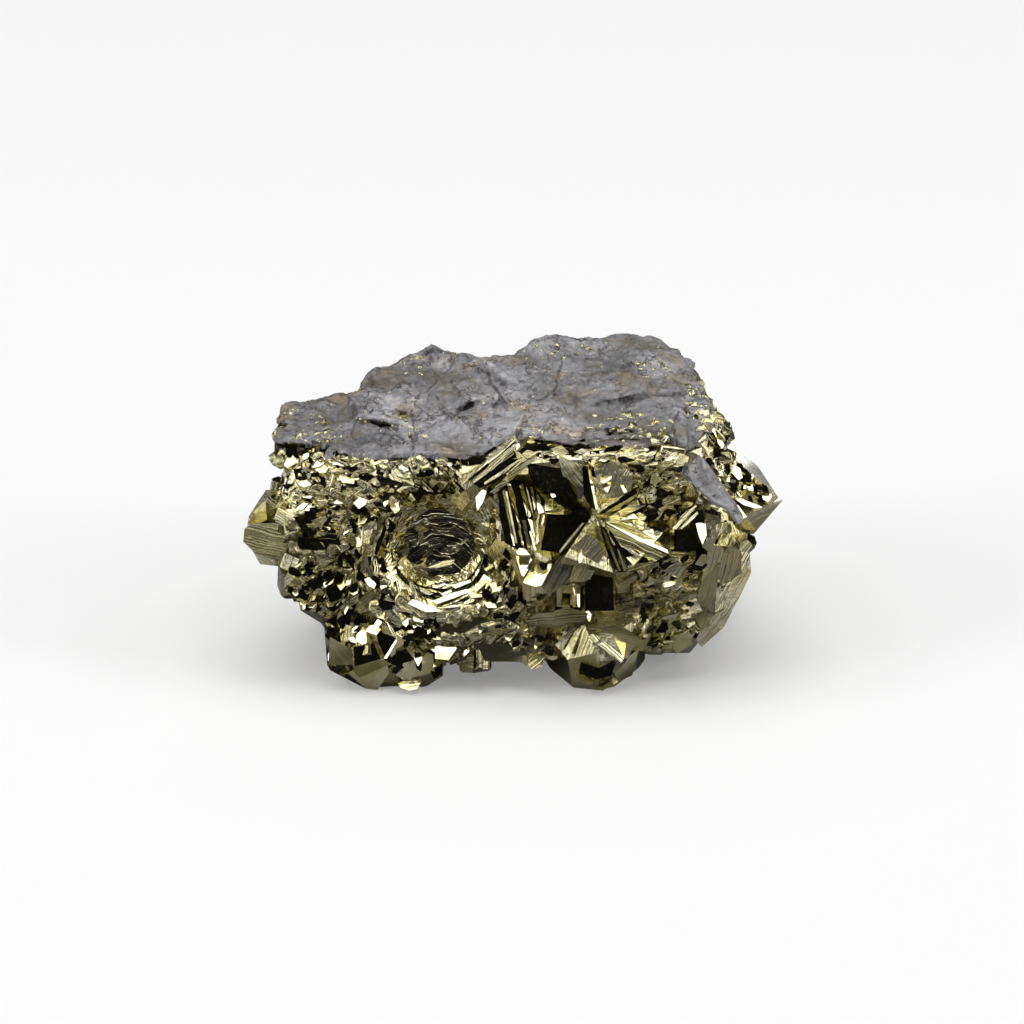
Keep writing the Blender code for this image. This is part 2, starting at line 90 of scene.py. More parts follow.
# Broken masses of pyrite: centre, half sizes, turn about Z, seed, then cuts given as bearings in the
# front view and distances from the centre.
MASSES = (
    ("left_block", (-13.1, -0.4, 14.4), (6.2, 7.0, 6.6), 3, 11, ()),
    ("centre_left_block", (-5.5, 2.6, 11.8), (8.0, 8.8, 9.2), -4, 12, ()),
    ("centre_right_block", (6.0, 3.6, 12.4), (8.6, 9.6, 9.4), 5, 13, ((-45, 11.0),)),
    ("right_block", (13.5, 1.8, 12.2), (4.7, 8.0, 8.8), -6, 14, ((-38, 8.2),)),
    ("lower_left_block", (-11.2, 0.4, 6.8), (5.4, 6.2, 5.2), 8, 15, ((222, 5.2),)),
    ("lower_right_block", (13.0, 0.8, 7.4), (5.1, 6.4, 5.4), -4, 16, ((-40, 5.2),)),
    ("back_right_block", (8.2, 9.2, 13.8), (7.2, 6.2, 7.2), 6, 23, ()),
    ("back_left_block", (-7.6, 5.4, 13.6), (7.4, 5.8, 6.6), -12, 24, ()),
    ("lower_back_block", (0.5, 7.0, 6.6), (12.5, 5.6, 6.0), 0, 17, ((-45, 11.5), (225, 11.5))),
    ("lower_front_ledge", (-2.2, -2.6, 5.0), (6.4, 5.4, 2.8), 3, 18, ()),
    ("hollow_boss", (-6.1, -5.2, 11.2), (6.6, 3.4, 6.6), 0, 19, ((45, 7.9), (135, 7.9), (225, 7.9))),
    ("right_shoulder", (15.4, -0.8, 16.6), (2.8, 3.8, 2.8), 18, 20, ((42, 2.8),)),
    ("left_brow", (-6.5, -3.6, 18.4), (8.0, 3.8, 2.7), 2, 21, ()),
    ("right_brow", (7.6, -3.2, 18.8), (7.8, 3.9, 2.7), -3, 22, ()),
)
MASS_FACES = 20
MASS_FULLNESS = (0.84, 0.95)

# Plates of the grey crust: outline in plan, bottom and top height, slope of the top towards X and Y, seed.
CRUST_PLATES = (
    ("left_plate", ((-20.1, -5.4), (-15.2, -7.4), (-10.6, -8.0), (-8.6, -3.0), (-9.6, 6.6), (-13.8, 6.6),
     (-18.4, 4.8), (-20.3, 1.0)), 19.4, 21.1, (0.03, -0.05), 31),
    ("left_hump", ((-12.2, 2.2), (-7.4, -0.4), (-3.4, 2.0), (-3.6, 9.8), (-6.6, 12.2), (-9.8, 12.4),
     (-12.6, 9.2)), 18.6, 22.2, (0.03, 0.02), 32),
    ("middle_plate", ((-10.6, -8.0), (-3.6, -8.4), (1.8, -8.2), (3.6, -2.0), (2.6, 6.0), (-8.8, 4.0)),
     19.8, 21.8, (0.04, -0.01), 33),
    ("right_front_plate", ((0.4, -8.2), (7.0, -8.9), (14.0, -8.7), (16.9, -6.2), (17.6, 1.6), (16.4, 5.0),
     (3.6, 5.0), (0.6, -2.0)), 20.2, 22.4, (0.00, 0.01), 34),
    ("right_back_plate", ((0.4, 2.0), (16.9, 2.0), (16.2, 8.0), (14.8, 12.8), (12.4, 15.4), (9.4, 16.4),
     (2.8, 15.8), (0.2, 12.8)), 20.0, 22.9, (-0.01, -0.02), 35),
    ("back_middle_plate", ((-6.8, 2.0), (2.2, 2.0), (2.0, 13.4), (-1.6, 12.2), (-5.4, 11.2)),
     17.8, 22.3, (0.03, 0.0), 36),
)
PLATE_FACES = 26
PLATE_FULLNESS = (0.93, 0.985)
PLATE_HALF = 30.0
PLATE_MARGIN = 1.0
CRUST_THICKNESS = 0.9

CHIP_COUNT = 34
CHIP_RADII = (1.2, 2.7)
CHIP_RISE = (0.2, 0.55)
CHIP_FLATTER = 0.55
CHIP_ROOT = 0.8
CHIP_LEAN = (3, -3)
CHIP_AREA = ((-18.0, 14.5), (-6.5, 11.5))
CHIP_BACK = (8.0, 0.25)
CHIP_LOWEST = 19.0
CHIP_FACES = 14
CHIP_SEED = 8
CHIP_SHAPE_SEED = 400

# A tongue of the crust runs down the right of the front: centre, half sizes, lean in the front view. In the
# fine crust it is slabs instead: outline in the front view, where its face lies along the view, and the
# tilt and bearing of the face.
TONGUE_SLABS = (
    ("lower_tongue", ((13.5, 2.5), (15.6, 1.2), (17.0, 0.7), (19.0, -1.1), (19.2, -0.2), (16.8, 3.2),
     (15.5, 5.1), (13.5, 4.8)), 13.3, (20, 70)),
    ("tongue_edge", ((16.4, 2.6), (19.1, -1.1), (19.5, -0.4), (16.5, 4.0), (15.5, 5.1)), 13.45, (34, 20)),
)
SLAB_DEPTH = 2.6
# Its upper end, a low ridge on the crust: middle, half sizes, turns.
TONGUE_ROUGHNESS = 0.3
TONGUE_RIDGE = ((14.15, -4.2, 22.1), (0.6, 3.7, 0.75), (2, 12, 0))
# What the crust lacks of its plates at the back left, outlines in the front view.
CRUST_CUTS = (
    ((-20.0, 10.3), (-13.72, 10.49), (-11.83, 12.38), (-12.5, 18.0), (-20.0, 18.0)),
    ((-11.83, 12.38), (-7.1, 14.8), (-7.1, 18.0), (-14.0, 18.0)),
    ((-0.7, 13.6), (3.0, 15.3), (3.0, 18.0), (-3.0, 18.0)),
)
# What the cluster lacks at the left, in the same terms.
CLUSTER_CUTS = (
    ((-26.0, 1.5), (-21.1, 1.5), (-20.8, 4.9), (-20.6, 6.9), (-26.0, 6.9)),
    ((-26.0, 6.8), (-20.6, 6.8), (-19.9, 8.4), (-19.9, 12.0), (-26.0, 12.0)),
)
# Where the crust ends in front, from left to right, and how far below that line it is cut away.
CRUST_EDGE = ((-23.0, 6.2), (-20.3, 5.9), (-17.2, 5.75), (-15.3, 5.3), (-14.0, 4.65), (-12.4, 4.4),
              (-10.2, 4.5), (-8.0, 4.8), (-6.5, 4.5), (-4.3, 4.15), (-3.0, 4.5), (-1.1, 5.6), (0.5, 6.1),
              (1.7, 6.2), (5.2, 5.6), (7.1, 5.5), (10.0, 5.3), (13.3, 5.9))
CRUST_EDGE_DEPTH = 6.0
TONGUE = ((16.3, -6.7, 17.3), (1.3, 1.4, 5.6), -27.0)
TONGUE_FACES = (((-0.35, -1.0, 0.0), 1.1), ((0.9, -1.0, 0.0), 1.05))
TONGUE_SLOPE = -14

# The star: blades that grow out from one point. Each has the bearings of its two sides, its reach, and
# the tilt, bearing and distance of its face.
STAR_CENTRE = Vector((6.95, -5.9, 15.1))
STAR_BACK = 3.4
BLADE_SIDE = 0.12
BLADE_BEVEL = (62, 0.96)
BLADE_END_TILT = 84
STAR_BLADES = (
    ("golden_block", 36, 95, 4.6, (24, 245, 2.6)),
    ("bright_edge", 97, 104, 4.4, (38, 190, 2.4)),
    ("olive_face", 106, 136, 5.6, (16, 330, 2.2)),
    ("lower_golden_face", 236, 286, 6.2, (30, 40, 2.5)),
    ("lower_needle", 291, 303, 6.0, (34, 200, 2.4)),
    ("striated_blade", 308, 344, 6.8, (22, 95, 2.3)),
    ("white_blade", 350, 372, 5.0, (40, 80, 2.2)),
    ("upper_needle", 374, 392, 4.8, (34, 110, 2.2)),
)

# Large crystals cut to their own faces: heart, depth behind the heart, then each face's tilt from the
# front, bearing in the front view and distance from the heart.
CUT_CRYSTALS = (
    ("star_pentagon", (1.9, -6.9, 14.6), 4.0, (
        (25, 170, 2.60), (35, -10, 2.62), (45, -95, 3.60), (50, -60, 3.73), (50, 55, 3.64),
        (35, 50, 3.15), (70, 180, 3.50), (60, 110, 3.90), (60, 220, 3.50), (85, 0, 4.2))),
    ("upper_left_blade", (-1.6, -7.3, 20.0), 2.4, (
        (22, 128, 1.35), (35, -52, 1.25), (85, 127, 1.2), (85, -53, 1.1), (70, 38, 3.3), (70, 218, 3.3))),
    ("striped_cube", (4.85, -7.2, 8.1), 1.5, (
        (12, 100, 1.5), (78, 10, 1.0), (78, 190, 1.0), (70, 95, 1.3), (70, 275, 1.3))),
    ("white_wedge", (2.6, -7.0, 7.2), 2.0, (
        (33, 95, 1.1), (60, 275, 0.9), (70, 150, 1.7), (70, 20, 1.6))),
    ("olive_plate", (3.6, -6.2, 5.4), 4.0, (
        (40, 110, 1.7), (50, 285, 1.3), (70, 190, 3.6), (70, 10, 3.4), (75, 280, 1.6))),
    ("black_cube", (15.1, -7.8, 14.8), 1.7, (
        (6, 190, 1.5), (84, 5, 1.3), (84, 185, 1.3), (84, 95, 1.5), (84, 275, 1.5))),
    ("golden_cheek", (17.0, -5.4, 12.7), 3.0, (
        (38, 20, 2.1), (30, 100, 2.4), (50, 300, 2.2), (60, 200, 1.9), (80, 60, 2.6), (85, 0, 2.5))),
    ("foot_facet", (-12.5, -5.6, 2.6), 3.6, (
        (22, 160, 3.0), (34, 5, 2.9), (44, 280, 2.8), (66, 92, 2.7), (75, 185, 2.6), (70, 225, 2.7),
        (85, 0, 3.0))),
    ("front_foot", (7.2, -5.9, 3.7), 3.8, (
        (30, 75, 3.0), (36, 165, 3.2), (34, -20, 3.3), (52, 255, 3.6), (55, 300, 3.5), (75, 210, 3.7),
        (80, 0, 3.6), (70, 120, 3.4), (80, 180, 3.7), (75, -35, 3.6))),
    ("lower_right_knob", (13.9, -3.8, 4.5), 3.4, (
        (30, 300, 2.8), (38, 200, 2.9), (50, 20, 2.8), (48, 100, 2.9), (80, -40, 2.6), (85, 0, 2.8),
        (85, 270, 2.9), (85, 225, 2.9), (85, 180, 3.0), (85, 90, 3.2))),
)

# Crystals of a standard form: form, centre, radius, turns about X, Y and Z.
FORM_CRYSTALS = (
    ("right_tip", "cube", (17.4, 0.4, 14.9), 3.4, (0, 45, 12)),
    ("nose", "pyritohedron", (-18.9, -2.6, 12.2), 3.2, (12, 20, 40)),
    ("nose_shelf", "pyritohedron", (-18.0, -0.8, 13.4), 2.3, (30, 5, 15)),
    ("nose_chin", "modified_cube", (-17.6, -3.6, 8.9), 1.6, (20, 35, 10)),
    ("left_flank", "pyritohedron", (-15.8, -3.8, 6.6), 2.2, (5, 40, 25)),
    ("left_heel", "modified_cube", (-13.9, -4.0, 4.4), 1.9, (35, 10, 50)),
    ("rhomb", "modified_cube", (-10.2, -7.2, 5.0), 1.7, (30, 42, 8)),
    ("second_foot", "pyritohedron", (-8.1, -6.0, 2.0), 2.3, (15, 30, 5)),
    ("golden_grain", "cube", (-5.8, -7.6, 3.7), 0.9, (20, 25, 30)),
    ("grey_grain", "pyritohedron", (-12.3, -6.9, 7.6), 1.1, (0, 15, 45)),
    ("ledge_grain", "modified_cube", (1.7, -7.0, 2.9), 1.2, (25, 35, 15)),
    ("small_grain", "cube", (2.0, -7.4, 5.2), 0.8, (40, 20, 10)),
    ("foot_neighbour", "modified_cube", (10.9, -5.8, 4.6), 2.0, (15, 25, 60)),
    ("golden_under_cube", "pyritohedron", (13.4, -7.0, 11.6), 1.9, (25, 15, 35)),
    ("back_foot_left", "pyritohedron", (-9.5, 8.0, 1.9), 2.8, (15, 40, 20)),
    ("back_foot_right", "modified_cube", (9.5, 9.2, 1.8), 2.7, (30, 20, 65)),
)

# The round hollow in the front: ledges that step down into the boss like a bowl.
HOLLOW_MOUTH = Vector((-6.1, -8.4, 11.6))
HOLLOW_LEDGES = 8
HOLLOW_RADIUS = 5.6
HOLLOW_STEP_IN = 0.38
HOLLOW_FIRST_DEPTH = 0.3
HOLLOW_STEP_DOWN = 0.22
HOLLOW_FRONT = 4.0
HOLLOW_RIM = 0.3
HOLLOW_FLARE = 1.25
HOLLOW_WAVES = (0.008, 0.03)
HOLLOW_SIDES = 40
HOLLOW_AXIS = (8, 265)
HOLLOW_SHIFT = 0.21 * UP - 0.02 * RIGHT
HOLLOW_SEED = 70
# Where the hollow and the star lie in the front view.
HOLLOW_VIEW = (-5.9, -3.9)
STAR_VIEW = (7.1, -0.35)

# Smaller crystals that stud the rest of the cluster: aimed at it from a spiral on a rounded box round it.
STUD_COUNT = 310
STUD_MIDDLE = Vector((-0.5, 3.0, 10.5))
STUD_SPREAD = Vector((20.0, 11.0, 11.0))
STUD_RADII = (0.9, 2.3)
STUD_RISE = 0.35
STUD_TOP = 18.6
STUD_TOP_BEHIND = 20.6
STUD_BEHIND = 6.0
STUD_HIGH = 15.0
STUD_LOW = 6.0
STUD_FLOOR = 1.6
STUD_SMALL = 1.15
STUD_END = 15.0
STUD_REACH = 30.0
STAR_CLEAR = 8.4
HOLLOW_CLEAR = 7.4
STUD_SEED = 5

# Single faces of the larger crystals on the front: look and outline in the front view, the lower ones first.
# A look is how far the face leans and towards what bearing, so what it mirrors, its kind and its share.
LOOKS = {
    "bright": (29, 90, CLEAN, 0.6),
    "olive_bright": (24, 84, LINED, 0.8),
    "black": (4, 0, CLEAN, 0.3),
    "olive": (27, 268, CLEAN, 0.45),
    "lined_olive": (25, 268, LINED, 0.4),
    "grey": (27, 262, CLEAN, 0.2),
    "brown": (16, 340, CLEAN, 0.1),
    "gold": (33, 262, ROUGH, 0.95),
    "pale": (18, 300, ROUGH, 0.55),
}
# A long face leans across its length instead, if its look mirrors the lights.
LIT_LOOKS = ("bright", "olive_bright")
RAISED_LOOKS = ("bright", "olive_bright", "gold", "grey", "brown", "lined_olive")
SLIM = 2.0
FACET_SWAY = 2.5
FACET_DEPTH = 2.0
FACET_LIFT = 0.1
FACET_GROUND = 0.7
FACET_RAISE = 1.0
FACETS = (
    ("dark_brow", "black", ((1.16, 4.26), (1.59, 2.81), (4.33, 0.41), (5.19, 0.32), (5.53, 1.18), (3.9,
     4.09), (2.79, 4.52))),
    ("olive_facet", "olive", ((3.9, 4.69), (4.24, 3.06), (5.01, 1.69), (5.87, 0.92), (6.04, 1.18),
     (5.87, 4))),
    ("edge_shade", "brown", ((5.91, 4.09), (6.04, 1.35), (6.64, 0.32), (6.98, 0.24), (6.3, 3.92))),
    ("bright_edge", "bright", ((6.3, 3.88), (7.03, 0.24), (7.2, 0.32), (6.55, 3.88))),
    ("golden_block", "gold", ((6.9, 3.75), (7.15, 0.67), (7.41, 0.24), (9.98, 1.78), (10.15, 3.23),
     (8.78, 4.35))),
    ("golden_glint_1", "bright", ((7.41, 2.55), (7.67, 2.38), (8.35, 2.81), (8.35, 2.98))),
    ("golden_glint_2", "bright", ((7.5, 2.38), (7.75, 1.86), (8.01, 1.61), (8.27, 2.21), (7.92, 2.46))),
    ("golden_glint_3", "bright", ((9.12, 2.21), (9.38, 1.61), (9.64, 1.69), (9.38, 2.21))),
    ("golden_edge", "olive_bright", ((7.5, 0.58), (7.58, 0.24), (9.04, 1.01), (8.78, 1.18))),
    ("striated_ground", "black", ((-1.15, 1.78), (-1.06, -0.19), (-0.64, -2.59), (0.48, -3.19), (2.27,
     -3.1), (2.7, -0.19), (2.79, 1.01), (1.59, 2.38), (0.39, 2.63))),
    ("stripe_1", "bright", ((-0.81, 1.95), (-0.25, -0.96), (-0.08, -0.96), (-0.61, 1.93))),
    ("stripe_2", "bright", ((-0.25, -0.96), (0.07, -2.8), (0.26, -2.84), (-0.08, -0.96))),
    ("stripe_3", "olive_bright", ((-0.38, 2.38), (0.09, 0.32), (0.35, 0.32), (0.26, 1.27), (-0.17,
     2.38))),
    ("stripe_4", "bright", ((0.18, 0.32), (0.65, -1.47), (0.78, -1.47), (0.39, 0.32))),
    ("stripe_5", "bright", ((0.48, -1.3), (0.82, -2.67), (1.08, -3.1), (0.69, -1.39))),
    ("stripe_6", "bright", ((0.65, 2.38), (0.9, 0.67), (1.25, -0.53), (1.59, -0.36), (1.33, 1.01), (0.9,
     2.38))),
    ("stripe_7", "bright", ((1.2, -0.53), (1.85, -3.19), (2.06, -3.19), (1.89, -1.9), (1.68, -0.7))),
    ("stripe_8", "bright", ((1.55, 2.12), (1.89, 0.15), (2.1, -0.1), (2.02, 0.49), (1.72, 2.12))),
    ("stripe_9", "bright", ((2.06, 1.52), (2.15, 0.32), (2.27, -0.1), (2.7, -0.02), (2.62, 0.24), (2.27,
     1.35))),
    ("stripe_10", "olive_bright", ((1.98, -0.96), (2.06, -2.76), (2.27, -2.42), (2.19, -0.96))),
    ("stripe_11", "bright", ((2.45, -0.96), (2.53, -1.3), (2.75, -0.53), (2.7, -0.19))),
    ("stripe_12", "grey", ((-0.94, -1.47), (-0.72, -2.5), (-0.55, -2.5), (-0.76, -1.47))),
    ("stripe_13", "brown", ((0.31, 2.38), (0.9, -0.19), (1.33, -1.9), (1.59, -1.56), (0.56, 2.38))),
    ("stripe_14", "brown", ((1.12, 2.38), (1.72, -0.19), (1.93, -0.19), (1.42, 2.29))),
    ("stripe_15", "lined_olive", ((-0.55, 1.73), (-0.04, -0.95), (0.3, -2.68), (0.48, -2.68), (0.13, -0.95), (-0.38, 1.73))),
    ("stripe_16", "lined_olive", ((1.0, 2.25), (1.42, 0.87), (1.65, -0.43), (1.82, -0.43), (1.59, 0.87), (1.16, 2.25))),
    ("stripe_17", "gold", ((0.85, -0.69), (1.3, -3.03), (1.56, -3.03), (1.17, -0.69))),
    ("black_face", "black", ((2.27, -3.19), (3.9, -3.44), (6.64, -0.36), (6.21, 0.32), (2.79, -0.19))),
    ("white_triangle", "bright", ((2.75, 0.58), (2.79, 0.11), (4.16, 0.19), (4.41, 0.32), (3.22,
     1.18))),
    ("white_flap", "bright", ((2.7, 0.02), (2.79, -0.1), (3.82, -0.23), (4.76, -0.19), (5.14, 0.02),
     (4.54, 0.28))),
    ("white_tip", "bright", ((3.22, 1.52), (3.39, 1.18), (3.69, 1.31), (3.56, 1.52))),
    ("slash_shade", "black", ((3.9, -3.87), (4.5, -3.27), (6.9, -0.7), (6.73, -0.45), (6.08, -1.05),
     (4.07, -3.53))),
    ("slash", "bright", ((3.99, -3.27), (4.07, -3.44), (6.08, -0.92), (5.87, -0.96), (4.5, -2.59))),
    ("gold_shade", "olive", ((6.13, -1.73), (7.92, -3.27), (7.41, -1.47), (6.9, -0.62))),
    ("lower_gold", "gold", ((4.84, -5.93), (6.47, -5.84), (7.33, -4.3), (7.84, -3.36), (7.07, -2.24),
     (6.21, -1.9), (5.01, -2.93))),
    ("lower_gold_glint", "bright", ((5.61, -4.3), (5.87, -4.13), (5.87, -3.44), (5.61, -3.61))),
    ("grey_facet", "grey", ((2.53, -6.35), (3.3, -6.87), (4.76, -5.93), (5.27, -4.3), (5.01, -3.02),
     (3.64, -4.13))),
    ("cream_left", "bright", ((0.31, -3.7), (0.82, -5.33), (0.99, -5.41), (1.76, -4.13), (1.5, -3.7))),
    ("cream_right", "bright", ((0.9, -5.93), (1.93, -6.27), (2.45, -6.18), (3.13, -4.98), (3.39, -4.39),
     (2.27, -4.3), (1.85, -4.3))),
    ("cream_crease", "olive", ((0.9, -5.16), (1.08, -5.58), (1.93, -4.13), (1.72, -3.96))),
    ("cream_notch", "black", ((2.27, -4.3), (2.32, -4.56), (2.7, -5.07), (2.96, -4.73), (3.05, -4.21))),
    ("cream_top", "bright", ((0.35, -3.36), (0.56, -3.61), (1.5, -3.61), (1.08, -3.1), (0.65, -3.02))),
    ("cream_top_right", "bright", ((1.76, -3.36), (2.1, -3.96), (2.87, -4.3), (3.05, -4.04), (2.27,
     -3.44))),
    ("hollow_bar", "bright", ((-9.62, 0.59), (-9.41, 0.44), (-8.15, 0.59), (-7.73, 0.86), (-8.15, 1.38),
     (-8.89, 1.17))),
    ("hollow_bar_right", "bright", ((-8.15, 1.43), (-8.05, 0.7), (-7.31, 0.86), (-6.47, 1.07), (-6.68,
     1.49))),
    ("hollow_bar_end", "olive_bright", ((-6.58, 1.38), (-6.53, 1.07), (-5.84, 1.07), (-5.74, 1.28))),
    ("hollow_glint_1", "bright", ((-8.26, -1.29), (-8.15, -1.61), (-7.31, -1.71), (-7.1, -1.5), (-7.73,
     -0.98))),
    ("hollow_glint_2", "bright", ((-8, -1.66), (-7.84, -2.76), (-7.47, -2.66), (-7.52, -1.66))),
    ("hollow_glint_3", "bright", ((-8.94, -1.29), (-8.73, -1.4), (-8.26, -0.67), (-8.42, -0.46))),
    ("hollow_rim_1", "bright", ((-10.72, -3.18), (-10.46, -3.08), (-9.99, -1.82), (-9.99, -1.5),
     (-10.36, -2.24))),
    ("hollow_rim_2", "olive_bright", ((-10.04, -1.4), (-9.83, -1.5), (-9.36, -0.56), (-9.52, -0.46))),
    ("hollow_rim_3", "bright", ((-11.2, -4.13), (-10.99, -4.34), (-10.3, -3.5), (-10.46, -3.29))),
    ("hollow_rim_4", "bright", ((-10.67, -4.76), (-10.36, -5.02), (-9.78, -4.44), (-10.04, -4.13))),
    ("hollow_rim_5", "bright", ((-10.99, -5.39), (-10.57, -5.6), (-9.78, -5.18), (-9.83, -4.86))),
    ("hollow_rim_6", "bright", ((-9.73, -4.34), (-9.52, -4.55), (-8.89, -3.71), (-9.1, -3.6))),
    ("hollow_rim_7", "grey", ((-9.41, -3.29), (-9.31, -3.92), (-8.62, -3.18), (-8.78, -2.97))),
    ("hollow_rim_8", "bright", ((-12.51, -5.7), (-12.14, -6.28), (-11.67, -6.44), (-11.51, -6.12),
     (-12.04, -5.49))),
    ("hollow_rim_9", "bright", ((-11.25, -6.02), (-11.09, -6.54), (-10.62, -6.33), (-10.78, -5.86))),
    ("hollow_right_1", "bright", ((-4.01, -1.08), (-3.54, -1.77), (-3.27, -1.61), (-3.69, -1.14))),
    ("hollow_right_2", "bright", ((-4.48, -2.76), (-4.32, -2.87), (-3.69, -2.34), (-3.96, -2.24))),
    ("hollow_right_3", "bright", ((-4.85, -3.18), (-4.79, -3.39), (-4.48, -3.34), (-4.53, -3.08))),
    ("hollow_right_4", "bright", ((-3.06, -2.34), (-2.96, -2.66), (-2.75, -2.71), (-2.7, -2.5))),
    ("hollow_right_5", "bright", ((-2.38, -4.86), (-2.17, -5.02), (-1.54, -4.6), (-1.59, -4.34))),
    ("hollow_floor_1", "grey", ((-7.84, -4.02), (-7.52, -4.18), (-6.68, -3.5), (-6.79, -3.29))),
    ("hollow_floor_2", "olive_bright", ((-7.21, -4.76), (-6.26, -4.76), (-5, -4.44), (-4.9, -4.02),
     (-5.84, -4.18))),
    ("hollow_floor_3", "gold", ((-8.26, -4.65), (-7.84, -5.49), (-7.1, -5.6), (-7.31, -4.55))),
    ("hollow_arc_1", "bright", ((-6.68, -6.33), (-6.47, -6.49), (-5.63, -6.17), (-5.74, -6.02))),
    ("hollow_arc_2", "bright", ((-5.21, -6.23), (-4.79, -6.49), (-3.48, -5.96), (-3.54, -5.75))),
    ("hollow_arc_3", "bright", ((-6.79, -7.59), (-6.37, -7.8), (-5, -7.33), (-3.64, -6.8), (-3.85,
     -6.54), (-5.32, -6.96))),
    ("hollow_arc_4", "bright", ((-3.33, -6.44), (-3.01, -6.75), (-2.12, -5.96), (-2.28, -5.7))),
    ("hollow_arc_5", "bright", ((-3.69, -6.75), (-3.54, -7.28), (-2.54, -7.22), (-2.59, -6.7))),
    ("hollow_arc_6", "bright", ((-9.25, -7.28), (-8.78, -7.8), (-7.31, -8.48), (-5.84, -8.43), (-8.15,
     -7.49))),
    ("hollow_arc_7", "bright", ((-8.73, -6.02), (-8.47, -6.86), (-8.15, -7.49), (-7.94, -7.28), (-8.42,
     -5.91))),
    ("hollow_arc_8", "olive_bright", ((-7.94, -6.33), (-7.73, -6.75), (-7.1, -7.07), (-6.68, -6.96))),
    ("hollow_arc_9", "bright", ((-6.05, -6.96), (-5.84, -7.12), (-5.11, -6.75), (-5.21, -6.59))),
    ("hollow_arc_10", "bright", ((-9.83, -5.81), (-9.52, -7.28), (-9.31, -7.54), (-9.15, -7.17), (-9.67,
     -5.81))),
    ("hollow_knot_1", "bright", ((-1.96, -6.12), (-1.54, -6.75), (-1.02, -6.7), (-0.86, -6.12), (-1.33,
     -5.86))),
    ("hollow_knot_2", "bright", ((-2.49, -7.59), (-2.07, -8.12), (-1.28, -8.12), (-1.54, -7.49))),
    ("hollow_knot_3", "bright", ((-3.9, -5.39), (-3.69, -5.49), (-3.43, -5.07), (-3.54, -4.92))),
    ("hollow_knot_shade", "black", ((-2.49, -6.96), (-2.17, -7.49), (-1.54, -7.38), (-1.44, -6.96),
     (-2.38, -6.44))),
    ("needle_shade", "black", ((7.38, 0.14), (7.67, -0.15), (10.45, 1.53), (10.74, 1.88), (10.05,
     1.77))),
    ("needle", "bright", ((7.79, -0.07), (8.66, 0.12), (10.28, 1.13), (10.74, 1.67), (9.7, 1.07))),
    ("second_needle", "olive", ((8.08, -0.38), (9.24, -0.38), (11.32, 0.55), (10.05, 0.61))),
    ("right_triangle", "bright", ((9.18, -0.65), (10.6, -0.52), (10.28, -0.11))),
    ("fan_upper", "grey", ((7.79, -0.9), (13.12, -3.34), (12.48, -2.64), (10.63, -1.42), (9.24, -0.9))),
    ("fan_line", "bright", ((7.84, -0.84), (10.57, -2.39), (13.14, -3.48), (13.06, -3.16))),
    ("fan_lower", "grey", ((7.96, -1.08), (9.47, -3.34), (11.79, -4.32), (12.95, -3.63), (10.57,
     -2.39))),
    ("fan_glint", "bright", ((9.12, -2.76), (10.22, -3.63), (10.86, -3.71), (10.05, -3.08))),
    ("fan_shade", "black", ((8.08, -1.48), (8.54, -2.99), (10.05, -4.32), (11.56, -4.09))),
    ("fan_end", "grey", ((9.7, -4.5), (9.82, -5.02), (11.09, -4.9), (11.56, -4.21))),
    ("lower_blade", "black", ((7.44, -1.02), (8.19, -3.34), (8.95, -5.08), (9.7, -5.02), (9.24, -4.03),
     (8.08, -1.71))),
    ("lower_blade_line", "bright", ((8.08, -1.89), (8.52, -2.81), (8.68, -2.76), (8.31, -2.06))),
    ("lower_blade_edge", "grey", ((7.55, -1.42), (9, -5.02), (9.18, -4.96), (7.79, -1.54))),
    ("lower_blade_side", "olive", ((8.83, -3.1), (9.41, -4.96), (9.61, -4.96), (9, -3.22))),
    ("cube_ground", "olive", ((3.79, -6.35), (3.81, -8.06), (6.08, -8.06), (5.99, -5.95))),
    ("cube_stripe_1", "bright", ((4.23, -6.35), (4.25, -8.06), (4.97, -8.06), (4.97, -6.21))),
    ("cube_stripe_2", "bright", ((5.14, -6.15), (5.18, -8.06), (5.36, -8.06), (5.34, -6.12))),
    ("cube_stripe_3", "bright", ((5.5, -6.1), (5.52, -8.06), (5.73, -8.06), (5.71, -6.05))),
    ("cube_stripe_4", "black", ((5.78, -6.05), (5.8, -8.06), (6.06, -8.06), (6.01, -6))),
    ("black_box", "black", ((6.16, -8.32), (8.6, -8.32), (8.48, -5.42), (7.96, -3.86), (6.16, -5.89))),
    ("long_blade_gold", "bright", ((-3.43, 2.75), (-3.22, 2.4), (-1.43, 3.71), (0.38, 5.48), (0.21,
     5.73))),
    ("long_blade_olive", "olive_bright", ((-4.33, 2.58), (-4.1, 2.4), (-1.32, 4.57), (0.28, 6.03),
     (0.14, 6.31))),
    ("long_blade_shade", "black", ((-3.64, 2.79), (-3.52, 2.58), (-1.67, 4.06), (0.28, 5.8), (0.24,
     5.99))),
    ("long_blade_under", "black", ((-3.22, 2.37), (-2.71, 2), (-1.32, 2.46), (0.65, 4.2), (0.94, 5.36),
     (0.42, 5.48))),
    ("long_blade_line", "olive_bright", ((-2.36, 2.46), (-2.25, 2.29), (-0.62, 3.27), (0.82, 4.43),
     (0.75, 4.55))),
    ("second_blade", "olive", ((-1.9, 1.65), (-1.43, 1.53), (2.16, 4.61), (1.93, 4.84), (0.19, 3.62))),
    ("left_glint", "bright", ((-3.06, 1.3), (-2.92, 0.14), (-2.48, 0.78), (-2.07, 2), (-2.54, 1.82))),
    ("cube_face", "black", ((13.76, -3.33), (14.95, -3.39), (15.64, -3.06), (15.67, -1.84), (15.39,
     -1.18), (13.85, -1.57))),
    ("cube_left_edge", "bright", ((13.35, -1.57), (13.38, -3.11), (13.66, -3.11), (13.69, -1.4))),
    ("cube_right_face", "bright", ((15.48, -0.96), (15.7, -1.95), (16, -2.73), (16.36, -1.95), (16.28,
